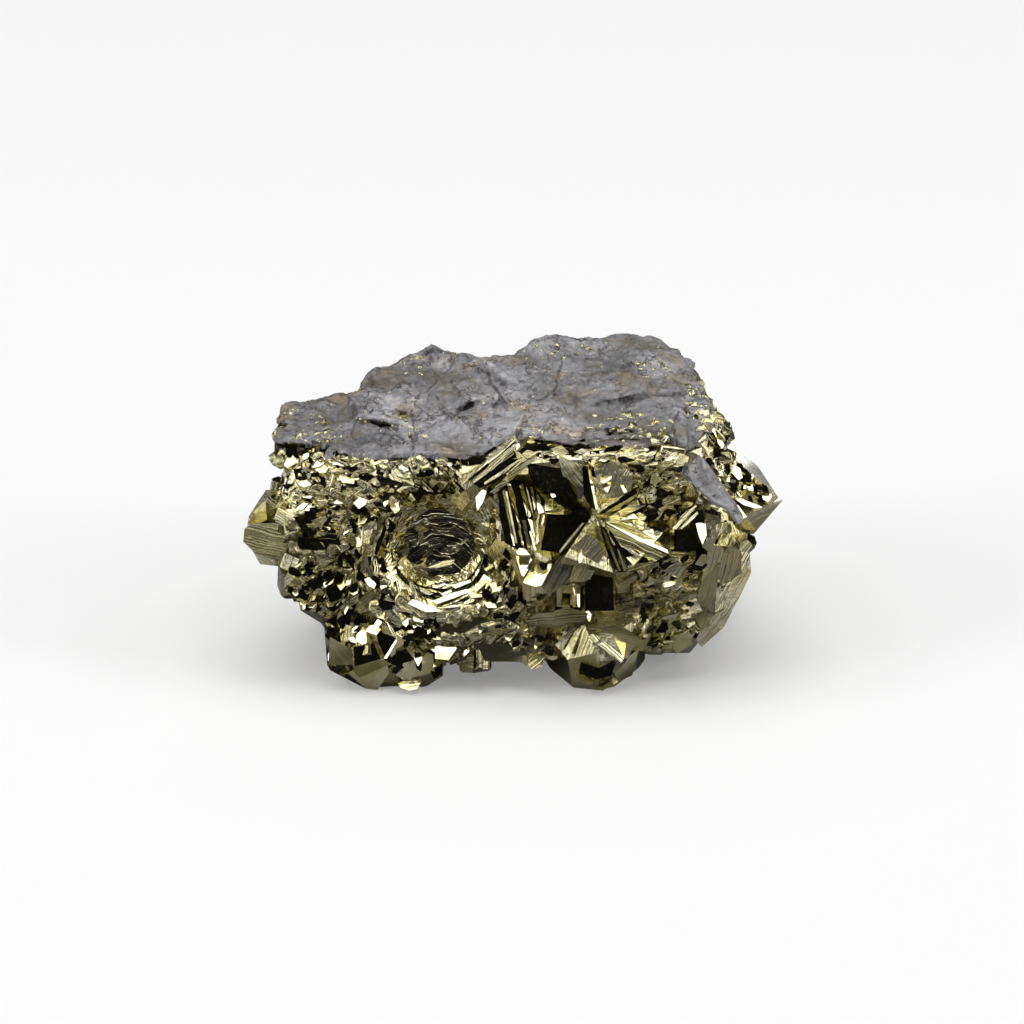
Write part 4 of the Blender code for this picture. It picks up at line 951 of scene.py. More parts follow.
def studs(tree, group):
    """Crystals spread over the cluster, clear of the crust, the star and the hollow."""
    rng = random.Random(STUD_SEED)
    for k in range(STUD_COUNT):
        start, aim = on_rounded_box(k, STUD_COUNT)
        radius = rng.uniform(*STUD_RADII) * rng.uniform(0.6, 1.0)
        turns = [rng.uniform(0, 360) for _ in range(3)]
        form = rng.choice(("cube", "modified_cube", "pyritohedron", "pyritohedron"))
        point, normal = surface_point(tree, start, -aim)
        if point is None or point.z < STUD_FLOOR:
            continue
        if point.z > (STUD_TOP if point.y < STUD_BEHIND else STUD_TOP_BEHIND) - radius:
            continue
        if point.y < 0 and (point - STAR_CENTRE).length < STAR_CLEAR:
            continue
        if point.y < 0 and (point - HOLLOW_MOUTH).length < HOLLOW_CLEAR:
            continue
        if point.z > STUD_HIGH and abs(point.x) > STUD_END:
            continue
        if point.z > STUD_HIGH or (point.y < 0 and point.z < STUD_LOW):
            radius = min(radius, STUD_SMALL)
        form_crystal(f"stud_{k}", form, point - normal * radius * STUD_RISE, radius, turns, group)


def tongue(group):
    """The strip of crust that hangs down the front, a bar with one broad and one narrow face."""
    centre, half, lean = TONGUE
    bm = convex_solid([(Vector(n).normalized(), distance) for n, distance in TONGUE_FACES], half)
    return placed(bm, "crust_tongue", Matrix.Translation(centre) @ turned((TONGUE_SLOPE, lean, 0)), group)


def view_prism(outline, middle, face, depth):
    """A convex prism along the line of sight, about its middle, with a leaning face in front."""
    if sum(x0 * y1 - x1 * y0 for (x0, y0), (x1, y1) in zip(outline, outline[1:] + outline[:1])) < 0:
        outline = outline[::-1]
    planes = [(facing(*face), 0.0), (-FRONT, depth)]
    for (x0, y0), (x1, y1) in zip(outline, outline[1:] + outline[:1]):
        side = ((y1 - y0) * RIGHT + (x0 - x1) * UP).normalized()
        planes.append((side, side.dot((x0 - middle[0]) * RIGHT + (y0 - middle[1]) * UP)))
    return convex_solid(planes, [max(12.0, depth + 1.0)] * 3)


def view_cut(outline, group):
    """A long prism along the line of sight, to cut everything inside an outline of the front view."""
    middle = (sum(p[0] for p in outline) / len(outline), sum(p[1] for p in outline) / len(outline))
    place = VIEW_MIDDLE + middle[0] * RIGHT + middle[1] * UP + TRIM_HALF / 2 * FRONT
    placed(view_prism(outline, middle, (0, 0), TRIM_HALF), "cut", Matrix.Translation(place), group)


def view_slab(name, outline, depth, face, group):
    """A slab of the crust with an outline given in the front view and a leaning face."""
    middle = (sum(p[0] for p in outline) / len(outline), sum(p[1] for p in outline) / len(outline))
    place = VIEW_MIDDLE + middle[0] * RIGHT + middle[1] * UP + depth * FRONT
    placed(view_prism(outline, middle, face, SLAB_DEPTH), name, Matrix.Translation(place), group, ROUGH)


def grain_forms():
    """Meshes of small broken blades, to be placed many times over."""
    meshes = []
    for k in range(GRAIN_FORMS):
        rng = random.Random(GRAIN_SEED + k)
        bm = convex_solid([], (1.0, rng.uniform(*GRAIN_WIDTHS), rng.uniform(*GRAIN_DEPTHS)))
        break_edges(bm, GRAIN_SEED + k, 7, (0.6, 0.92))
        line_up(bm, LINED, GRAIN_SEED + k, RIGHT)
        for face in bm.faces:
            face.smooth = k % 3 > 0
        mesh = bpy.data.meshes.new(f"grain_form_{k}")
        bm.to_mesh(mesh)
        bm.free()
        meshes.append(mesh)
    return meshes


def strayed(rng, way, amount):
    """A direction moved off its own by a random amount."""
    return (way + amount * Vector([rng.gauss(0.0, 1.0) for _ in range(3)])).normalized()


def put_grain(forms, rng, point, normal, along, radius, sink, group):
    """One grain of a random form that lies along a direction, sunk a little into the surface."""
    solid = bpy.data.objects.new("grain", rng.choice(forms))
    face = strayed(rng, normal, GRAIN_TILT)
    side = face.cross(along)
    if side.length < 0.05:
        side = face.orthogonal()
    side.normalize()
    turn = Matrix((side.cross(face), side, face)).transposed().to_4x4()
    solid.matrix_world = Matrix.Translation(point - normal * radius * sink) @ turn @ Matrix.Scale(radius, 4)
    group.objects.link(solid)


def heading(follow, across, up):
    """The bearing of a grain at a place in the front view."""
    if follow == ROUND_HOLLOW:
        return 90 + math.degrees(math.atan2(up - HOLLOW_VIEW[1], across - HOLLOW_VIEW[0]))
    if follow == FROM_STAR:
        return math.degrees(math.atan2(up - STAR_VIEW[1], across - STAR_VIEW[0]))
    return follow


def view_ray(tree, across, up):
    """Where the line of sight at a place in the front view meets a surface, with its normal."""
    start = VIEW_MIDDLE + across * RIGHT + up * UP + FRONT * TRIM_HALF
    return surface_point(tree, start, -FRONT)


def in_outline(across, up, outline):
    """Whether a place in the front view lies inside a convex outline, which runs anticlockwise."""
    return all((x1 - x0) * (up - y0) - (y1 - y0) * (across - x0) > 0
               for (x0, y0), (x1, y1) in zip(outline, outline[1:] + outline[:1]))


def front_grains(tree, crust, zones, on_crust, forms, group):
    """Grains in the zones of the front, on the crust or clear of it."""
    kept_clear = [entry[1] for entry in TONGUE_SLABS] + ([] if on_crust else [entry[2] for entry in FACETS])
    for name, (left, right, low, high), count, radii, sink, follow, stray in zones:
        rng = random.Random(name)
        for _ in range(count):
            across, up = rng.uniform(left, right), rng.uniform(low, high)
            radius = radii[0] + (radii[1] - radii[0]) * rng.random() ** 2
            bearing = heading(follow, across, up) + rng.gauss(0.0, stray * 0.6)
            point, normal = view_ray(tree, across, up)
            cover, cover_normal = view_ray(crust, across, up)
            if on_crust:
                point, normal = cover, cover_normal
            if point is None:
                continue
            covered = cover is not None and (cover - point).dot(FRONT) > -CRUST_CLEAR
            if covered and not on_crust:
                continue
            if not on_crust and math.dist((across, up), HOLLOW_VIEW) < HOLLOW_BARE:
                continue
            if any(in_outline(across, up, outline) for outline in kept_clear):
                continue
            put_grain(forms, rng, point, normal, facing(90, bearing), radius, sink, group)


def far_grains(tree, crust, forms, group):
    """Grains on the sides, the back and the underside."""
    rng = random.Random(FAR_GRAIN_SEED)
    for k in range(FAR_GRAINS):
        start, aim = on_rounded_box(k, FAR_GRAINS)
        radius = FAR_GRAIN_RADII[0] + (FAR_GRAIN_RADII[1] - FAR_GRAIN_RADII[0]) * rng.random() ** 2
        along = strayed(rng, RIGHT, 0.8)
        point, normal = surface_point(tree, start, -aim)
        if point is None or point.z > FAR_GRAIN_TOP or point.z < GROUND + radius or normal.dot(FRONT) > 0.55:
            continue
        cover, _ = surface_point(crust, start, -aim)
        if cover is not None and (cover - point).dot(aim) > -CRUST_CLEAR:
            continue
        put_grain(forms, rng, point, normal, along, radius, FAR_GRAIN_SINK, group)


def new_group(name):
    """A collection for working solids."""
    group = bpy.data.collections.new(name)
    bpy.context.scene.collection.children.link(group)
    return group


def clear_group(group):
    """Removes the working solids once they are part of a piece."""
    for solid in list(group.objects):
        bpy.data.objects.remove(solid)
    bpy.data.collections.remove(group)


def joined(base, group, operation, name):
    """The base with a Boolean against every solid of a group, as a new object."""
    step = base.modifiers.new(operation.lower(), "BOOLEAN")
    step.operation = operation
    step.operand_type = "COLLECTION"
    step.collection = group
    step.solver = "MANIFOLD"
    bpy.context.view_layer.update()
    evaluated = base.evaluated_get(bpy.context.evaluated_depsgraph_get())
    mesh = bpy.data.meshes.new_from_object(evaluated)
    bpy.data.objects.remove(base)
    result = bpy.data.objects.new(name, mesh)
    bpy.context.scene.collection.objects.link(result)
    return result


def union(group, name):
    """All solids of a group as one."""
    base = group.objects[0]
    group.objects.unlink(base)
    bpy.context.scene.collection.objects.link(base)
    base.data = base.data.copy()
    base.data.transform(base.matrix_world)
    base.matrix_world = Matrix.Identity(4)
    result = joined(base, group, "UNION", name)
    clear_group(group)
    return result


def tree_of(solid):
    """A search tree over the faces of a solid."""
    mesh = solid.data
    return BVHTree.FromPolygons([v.co for v in mesh.vertices], [p.vertices[:] for p in mesh.polygons])


def fill_pockets(mesh, smallest):
    """Drops skins of fewer corners than the smallest: hollows sealed inside, and stray chips."""
    bm = bmesh.new()
    bm.from_mesh(mesh)
    left = set(bm.verts)
    loose = []
    while left:
        skin = set()
        edge = [left.pop()]
        while edge:
            vert = edge.pop()
            skin.add(vert)
            near = {e.other_vert(vert) for e in vert.link_edges} & left
            left -= near
            edge.extend(near)
        if len(skin) < smallest:
            loose.extend(skin)
    bmesh.ops.delete(bm, geom=loose, context="VERTS")
    bm.to_mesh(mesh)
    bm.free()


def trimmed(solid, name):
    """A solid with everything below the ground cut away."""
    ground = new_group("ground")
    placed(convex_solid([], [TRIM_HALF] * 3), "below_ground",
           Matrix.Translation((0.0, 0.0, GROUND - TRIM_HALF)), ground)
    result = joined(solid, ground, "DIFFERENCE", name)
    clear_group(ground)
    return result


def finished(piece, material, smallest=0):
    """Moves a piece into the model's frame and gives it its material and its body."""
    if smallest:
        fill_pockets(piece.data, smallest)
    piece.data.transform(Matrix.Scale(MM, 4) @ Matrix.Translation(-DATUM))
    piece.data.materials.clear()
    piece.data.materials.append(material)
    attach(piece, "root")


def masses(under):
    """The masses, plates and tongue as one solid, with the plates' tops lowered by an amount."""
    group = new_group("masses")
    for name, centre, half, turn, seed, cuts in MASSES:
        drop = under if centre[2] + half[2] > MASS_TOP else 0.0
        mass(name, (centre[0], centre[1], centre[2] - drop), half, turn, seed, cuts, group)
    for name, outline, bottom, top, slope, seed in CRUST_PLATES:
        crust_plate(name, outline, bottom, top - under, slope, seed, group)
    if not under:
        tongue(group)
    return union(group, "masses")


def crust_skin(tree):
    """The crust: a skin over the plates with its chips, its low peak, its cracks and pit."""
    shell = new_group("crust")
    for name, outline, bottom, top, slope, seed in CRUST_PLATES:
        crust_plate(name, outline, top - CRUST_THICKNESS, top, slope, seed, shell)
    chips(tree, shell)
    peak(shell)
    for name, outline, face, depth in CRUST_RISES:
        rise(name, outline, face, depth, tree, shell)
    crust = union(shell, "grey_crust")
    plates = tree_of(crust)
    cuts = new_group("cracks")
    below = [((x0, y0 - CRUST_EDGE_DEPTH), (x1, y1 - CRUST_EDGE_DEPTH), (x1, y1), (x0, y0))
             for (x0, y0), (x1, y1) in zip(CRUST_EDGE, CRUST_EDGE[1:])]
    for outline in CRUST_CUTS + tuple(below):
        view_cut(outline, cuts)
    for start, end, width, depth in CRACKS:
        crack(plates, start, end, width, depth, cuts)
    pit(plates, cuts)
    crust = joined(crust, cuts, "DIFFERENCE", "grey_crust")
    clear_group(cuts)
    remesh_crust(crust, 1.0)
    return crust


def tongue_skin():
    """The tongue: smooth pale slabs down the front, and a ridge that runs back over the crust."""
    slabs = new_group("tongue")
    for name, outline, depth, face in TONGUE_SLABS:
        view_slab(name, outline, depth, face, slabs)
    middle, half, turns = TONGUE_RIDGE
    ridge = convex_solid([], half)
    break_edges(ridge, CHIP_SEED, CHIP_FACES, MASS_FULLNESS)
    placed(ridge, "tongue_ridge", Matrix.Translation(middle) @ turned(turns), slabs)
    pale = union(slabs, "crust_tongue")
    remesh_crust(pale, TONGUE_ROUGHNESS)
    return pale


def peak(group):
    """The low peak at the back of the crust."""
    top, faces = PEAK
    planes = []
    for tilt, bearing in faces:
        lean, turn = math.radians(tilt), math.radians(bearing)
        planes.append((Vector((math.sin(lean) * math.cos(turn), math.sin(lean) * math.sin(turn),
                               math.cos(lean))), 0.0))
    bm = convex_solid(planes, (8.0, 8.0, PEAK_DEPTH))
    placed(bm, "peak", Matrix.Translation(top), group)


def rise(name, outline, face, depth, tree, group):
    """A slope that fills an outline of the front view, through the surface at its middle."""
    middle = (sum(p[0] for p in outline) / len(outline), sum(p[1] for p in outline) / len(outline))
    point, _ = view_ray(tree, *middle)
    if point is None:
        return
    bm = view_prism(outline, middle, face, depth)
    cut_flat(bm, Vector((0.0, 0.0, -RISE_BASE)), Vector((0.0, 0.0, -1.0)))
    placed(bm, name, Matrix.Translation(point), group)


def crack(tree, start, end, width, depth, group):
    """A wedge that cuts a crack into the crust along a line of the front view."""
    first, _ = view_ray(tree, *start)
    last, _ = view_ray(tree, *end)
    if first is None or last is None:
        return
    along = last - first
    across = along.cross(FRONT).normalized()
    middle = (first + last) / 2
    bm = bmesh.new()
    tips = [bm.verts.new(p + FRONT * 0.3) for p in (first, last)]
    rims = [bm.verts.new(middle + FRONT * 0.8 + across * width * s) for s in (0.6, -0.6)]
    roots = [bm.verts.new(middle - FRONT * depth + along * s) for s in (0.3, -0.3)]
    bmesh.ops.convex_hull(bm, input=tips + rims + roots)
    bmesh.ops.recalc_face_normals(bm, faces=bm.faces)
    placed(bm, "crack", Matrix.Identity(4), group)


def pit(tree, group):
    """A round bowl cut into the crust."""
    place, radius, depth = PIT
    point, normal = view_ray(tree, *place)
    if point is None:
        return
    bm = bmesh.new()
    bmesh.ops.create_icosphere(bm, subdivisions=2, radius=radius)
    placed(bm, "pit", Matrix.Translation(point + normal * (radius - depth)), group)


def pyrite_cluster(full_tree, crust_tree):
    """The cluster: masses with the hollow in them, and every crystal that grows on them."""
    base = masses(UNDER_CRUST)
    hollow = new_group("hollow")
    for outline in CLUSTER_CUTS:
        view_cut(outline, hollow)
    for index in range(HOLLOW_LEDGES):
        hollow_ledge(index, hollow)
    base = joined(base, hollow, "DIFFERENCE", "masses")
    clear_group(hollow)
    tree = tree_of(base)
    crystals = new_group("crystals")
    for entry in FORM_CRYSTALS:
        form_crystal(*entry, group=crystals)
    for entry in CUT_CRYSTALS:
        cut_crystal(*entry, group=crystals)
    for entry in STAR_BLADES:
        star_blade(*entry, group=crystals)
    studs(full_tree, crystals)
    cluster = joined(base, crystals, "UNION", "pyrite_cluster")
    clear_group(crystals)
    crystal_tree = tree_of(cluster)
    faces = new_group("facets")
    laid = []
    for entry in FACETS:
        facet(*entry, crystal_tree, laid, faces)
    glints(crystal_tree, crust_tree, faces)
    cluster = joined(cluster, faces, "UNION", "pyrite_cluster")
    clear_group(faces)
    return trimmed(cluster, "pyrite_cluster"), tree


def grains(name, fill):
    """The grains that a function puts into a group, as one piece cut off at the ground."""
    group = new_group(name)
    fill(group)
    return trimmed(union(group, name), name)


def specimen(pyrite, grain_pyrite, grey, pale):
    """Every piece of the specimen, with its material and its body; the part that it replaces is hidden."""
    plates = masses(0.0)
    full_tree = tree_of(plates)
    bpy.data.objects.remove(plates)
    crust = crust_skin(full_tree)
    crust_tree = tree_of(crust)
    cluster, tree = pyrite_cluster(full_tree, crust_tree)
    forms = grain_forms()
    front = grains("front_grains",
                   lambda group: front_grains(tree, crust_tree, GRAIN_ZONES, False, forms, group))
    far = grains("far_grains", lambda group: far_grains(tree, crust_tree, forms, group))
    specks = grains("crust_specks",
                    lambda group: front_grains(tree, crust_tree, CRUST_GRAIN_ZONES, True, forms, group))
    finished(cluster, pyrite, 40)
    finished(front, grain_pyrite, 8)
    finished(far, grain_pyrite, 8)
    finished(specks, grain_pyrite, 8)
    finished(crust, grey)
    finished(tongue_skin(), pale)
    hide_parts(NODE)


def remesh_crust(crust, amount):
    """Turns the crust's plates into one fine skin and roughens it by a share of the usual amount."""
    remesh = crust.modifiers.new("skin", "REMESH")
    remesh.mode = "VOXEL"
    remesh.voxel_size = CRUST_VOXEL
    remesh.use_smooth_shade = True
    rounded = crust.modifiers.new("rounded", "SMOOTH")
    rounded.factor = 0.5
    rounded.iterations = CRUST_ROUNDING
    bpy.context.view_layer.update()
    evaluated = crust.evaluated_get(bpy.context.evaluated_depsgraph_get())
    mesh = bpy.data.meshes.new_from_object(evaluated)
    crust.modifiers.clear()
    crust.data = mesh
    roughen(mesh, amount)
    paint_crack_shade_and_patches(mesh)


def roughen(mesh, amount):
    """Moves the crust's points in and out: lumps, ledges and grit."""
    normals = [v.normal.copy() for v in mesh.vertices]
    for vert, normal in zip(mesh.vertices, normals):
        place = vert.co
        lumps = noise.noise(place * 0.22) * 0.55 + noise.noise(place * 0.6) * 0.34
        ledges = abs(noise.noise(place * 0.5 + Vector((7.0, 0.0, 0.0)))) * 0.40
        grit = noise.noise(place * 1.4) * 0.10 + noise.noise(place * 3.4) * 0.05
        cell = noise.voronoi(place * 0.30 + 0.45 * noise.noise_vector(place * 0.7))[0]
        split = max(0.0, 0.05 - (cell[1] - cell[0])) * 6.0
        vert.co = place + normal * (lumps + grit - ledges - split) * amount


def paint_crack_shade_and_patches(mesh):
    """Marks the points near a crack for painted shade, and those in the pale and dark patches: the crust's own tone,
    with painted light in the pale ones near its front edge.
    """
    cracked = mesh.attributes.new(PAINTED_CRACK_SHADE, "FLOAT", "POINT").data
    patch_tone_and_light = mesh.attributes.new(PALE, "FLOAT", "POINT").data
    for index, vert in enumerate(mesh.vertices):
        place = vert.co + noise.noise_vector(vert.co * 0.9) * 0.35
        spot = Vector(((place - VIEW_MIDDLE).dot(RIGHT), (place - VIEW_MIDDLE).dot(UP)))
        # Painted shade: points near a crack's line are marked darker, as shade falls in the crack.
        dark = 0.0
        for start, end, width, _ in CRACKS:
            near, share = intersect_point_line(spot, start, end)
            if 0.0 < share < 1.0:
                reach = CRACK_SHADE_REACH * (0.5 + width)
                dark = max(dark, 1.0 - (spot - near.xy).length / reach)
        cracked[index].value = min(1.0, 1.6 * dark)
        # Pale and dark patches: the crust's own tone, and painted light in the pale ones near its front edge.
        light = 0.0
        for middle, half, amount in CRUST_PATCHES:
            away = math.hypot((spot.x - middle[0]) / half[0], (spot.y - middle[1]) / half[1])
            light += amount * max(0.0, min(1.0, 1.6 - away))
        patch_tone_and_light[index].value = light


# ------------------------------------------------------------------------------------------ materials

FLOOR_TONE = (0.62, 0.62, 0.62)
FLOOR_GLOW = 0.235
# How bright the floor is in the metal, by distance from the specimen as a share of FLOOR_FADE metres: painted light
# that only the metal sees, a bright band that it mirrors as a light, and dimmer floor nearer and beyond.
FLOOR_IN_METAL = ((0.0, 0.50), (0.18, 0.36), (0.34, 0.22), (0.50, 0.20), (0.55, 2.4), (0.85, 2.4),
                  (0.90, 0.10), (1.0, 0.10))
FLOOR_FADE = 0.1
# The studio's brightness by height: 0 is the horizon and 1 is straight up.
WORLD_TONES = ((0.0, 0.10), (0.08, 0.10), (0.10, 0.014), (0.58, 0.014), (0.60, 1.6), (0.68, 1.6),
               (0.70, 0.20), (0.85, 0.20))
# Dark patches of the studio, as the metal mirrors them: scale on the floor and of the sky, how much of
# it they cover, and how dark they are.
FLOOR_PATCHES = (70.0, 0.47, 0.12)
SKY_PATCHES = (3.2, 0.46, 0.10)
# How much lighter the tongue is than the rest of the crust.
PALER = 1.35
# The camera's own dark reflection: its half width in degrees, and how dark it is.
CAMERA_SHADE = 20
CAMERA_SHADE_TONE = 0.5
# An arch of small soft boxes between the windows and the overhead one: their angle from the camera's line,
# their bearings in the front view, distance and size in metres, strength.
ARCH = (68, (25, 50, 130, 155), 1.2, (0.42, 0.24), 1.4)
# Soft boxes: name, place and size in metres, strength, colour.
PANELS = (
    ("overhead", (0.0, -0.06, 1.1), (1.0, 0.85), 9.0, (1.0, 1.0, 1.0)),
    ("left_window", (-1.15, -0.55, 0.5), (0.28, 0.9), 4.0, (1.0, 1.0, 1.0)),
    ("right_window", (1.2, -0.45, 0.45), (0.22, 0.8), 3.0, (1.0, 1.0, 1.0)),
)


def adder(tree):
    """A shorthand for adding a node to a tree with its settings and inputs."""

    def add(kind, **values):
        node = tree.nodes.new(kind)
        for key, value in values.items():
            if key in node.inputs:
                node.inputs[key].default_value = value
            else:
                setattr(node, key, value)
        return node

    return add


def nodes_of(name):
    """A new material with its node tree, its shader and a shorthand for adding nodes."""
    material = bpy.data.materials.new(name)
    material.use_nodes = True
    tree = material.node_tree
    return material, tree, tree.nodes["Principled BSDF"], adder(tree)


def ramp(add, stops):
    """A colour ramp with stops given as (place, colour)."""
    node = add("ShaderNodeValToRGB")
    band = node.color_ramp
    while len(band.elements) < len(stops):
        band.elements.new(0.5)
    for element, (place, colour) in zip(band.elements, stops):
        element.position = place
        element.color = (*colour, 1.0)
    return node


def pyrite_material(name, crumple):
    """Brass-yellow metal: each face has growth lines, a tone of its own, and its kind of roughness."""
    material, tree, shader, add = nodes_of(name)
    link = tree.links.new

    def maths(operation, *values, clamp=False):
        node = add("ShaderNodeMath", operation=operation, use_clamp=clamp)
        for socket, value in zip(node.inputs, values):
            if isinstance(value, (int, float)):
                socket.default_value = value
            else:
                link(value, socket)
        return node.outputs[0]

    def scaled(vector, factor):
        node = add("ShaderNodeVectorMath", operation="SCALE")
        link(vector, node.inputs[0])
        node.inputs["Scale"].default_value = factor
        return node.outputs[0]

    millimetres = scaled(add("ShaderNodeTexCoord").outputs["Object"], 1000.0)
    face = add("ShaderNodeSeparateXYZ")
    link(add("ShaderNodeUVMap", uv_map=LINES).outputs["UV"], face.inputs[0])
    across, number = face.outputs["X"], face.outputs["Y"]
    share = maths("FRACT", number)
    lined = maths("GREATER_THAN", number, 1.0)
    rough = maths("GREATER_THAN", number, 2.0)
    ringed = maths("GREATER_THAN", number, 3.0)

    wave = add("ShaderNodeTexNoise", Scale=0.7, Detail=2.0)
    link(millimetres, wave.inputs["Vector"])
    bend = maths("MULTIPLY", wave.outputs["Fac"], 0.5)
    distance = add("ShaderNodeVectorMath", operation="DISTANCE")
    link(millimetres, distance.inputs[0])
    distance.inputs[1].default_value = HOLLOW_MOUTH - DATUM - 1.2 * UP
    rings = maths("ADD", maths("MULTIPLY", distance.outputs["Value"], 0.55), maths("MULTIPLY", bend, 1.2))
    place = add("ShaderNodeMix", data_type="FLOAT")
    link(ringed, place.inputs["Factor"])
    link(maths("ADD", across, bend), place.inputs[2])
    link(rings, place.inputs[3])
    lines = add("ShaderNodeTexNoise", noise_dimensions="1D", Scale=2.2, Detail=4.0, Roughness=0.72)
    link(place.outputs[0], lines.inputs["W"])

    creases = add("ShaderNodeTexNoise", noise_type="RIDGED_MULTIFRACTAL", Scale=0.55, Detail=4.0)
    creases.inputs["Roughness"].default_value = 0.62
    warp = add("ShaderNodeVectorMath", operation="ADD")
    link(millimetres, warp.inputs[0])
    link(scaled(wave.outputs["Color"], 1.6), warp.inputs[1])
    link(warp.outputs[0], creases.inputs["Vector"])
    grit = add("ShaderNodeTexNoise", Scale=3.0, Detail=3.0)
    link(millimetres, grit.inputs["Vector"])

    height = maths("MULTIPLY", lines.outputs["Fac"], maths("ADD", 0.02, maths("MULTIPLY", lined, 0.05)))
    height = maths("ADD", height, maths("MULTIPLY", creases.outputs["Fac"],
                                        maths("ADD", crumple, maths("MULTIPLY", rough, 0.10))))
    height = maths("ADD", height, maths("MULTIPLY", grit.outputs["Fac"], maths("MULTIPLY", lined, 0.012)))
    bump = add("ShaderNodeBump", Strength=1.0, Distance=0.001)
    link(height, bump.inputs["Height"])
    link(bump.outputs["Normal"], shader.inputs["Normal"])

    patches = add("ShaderNodeTexNoise", Scale=0.26, Detail=4.0, Roughness=0.6)
    link(millimetres, patches.inputs["Vector"])
    tone = maths("ADD", maths("MULTIPLY", patches.outputs["Fac"], 0.7), maths("MULTIPLY", share, 0.3))
    tint = ramp(add, (
        (0.28, (0.26, 0.235, 0.09)), (0.43, (0.47, 0.435, 0.225)), (0.54, (0.62, 0.59, 0.41)),
        (0.70, (0.80, 0.71, 0.36))))
    link(tone, tint.inputs["Fac"])
    link(tint.outputs["Color"], shader.inputs["Base Color"])
    shader.inputs["Metallic"].default_value = 1.0
    gloss = add("ShaderNodeMapRange")
    gloss.inputs["From Min"].default_value = 0.3
    gloss.inputs["From Max"].default_value = 0.7
    gloss.inputs["To Min"].default_value = 0.05
    gloss.inputs["To Max"].default_value = 0.16
    link(grit.outputs["Fac"], gloss.inputs["Value"])
    link(gloss.outputs["Result"], shader.inputs["Roughness"])
    return material


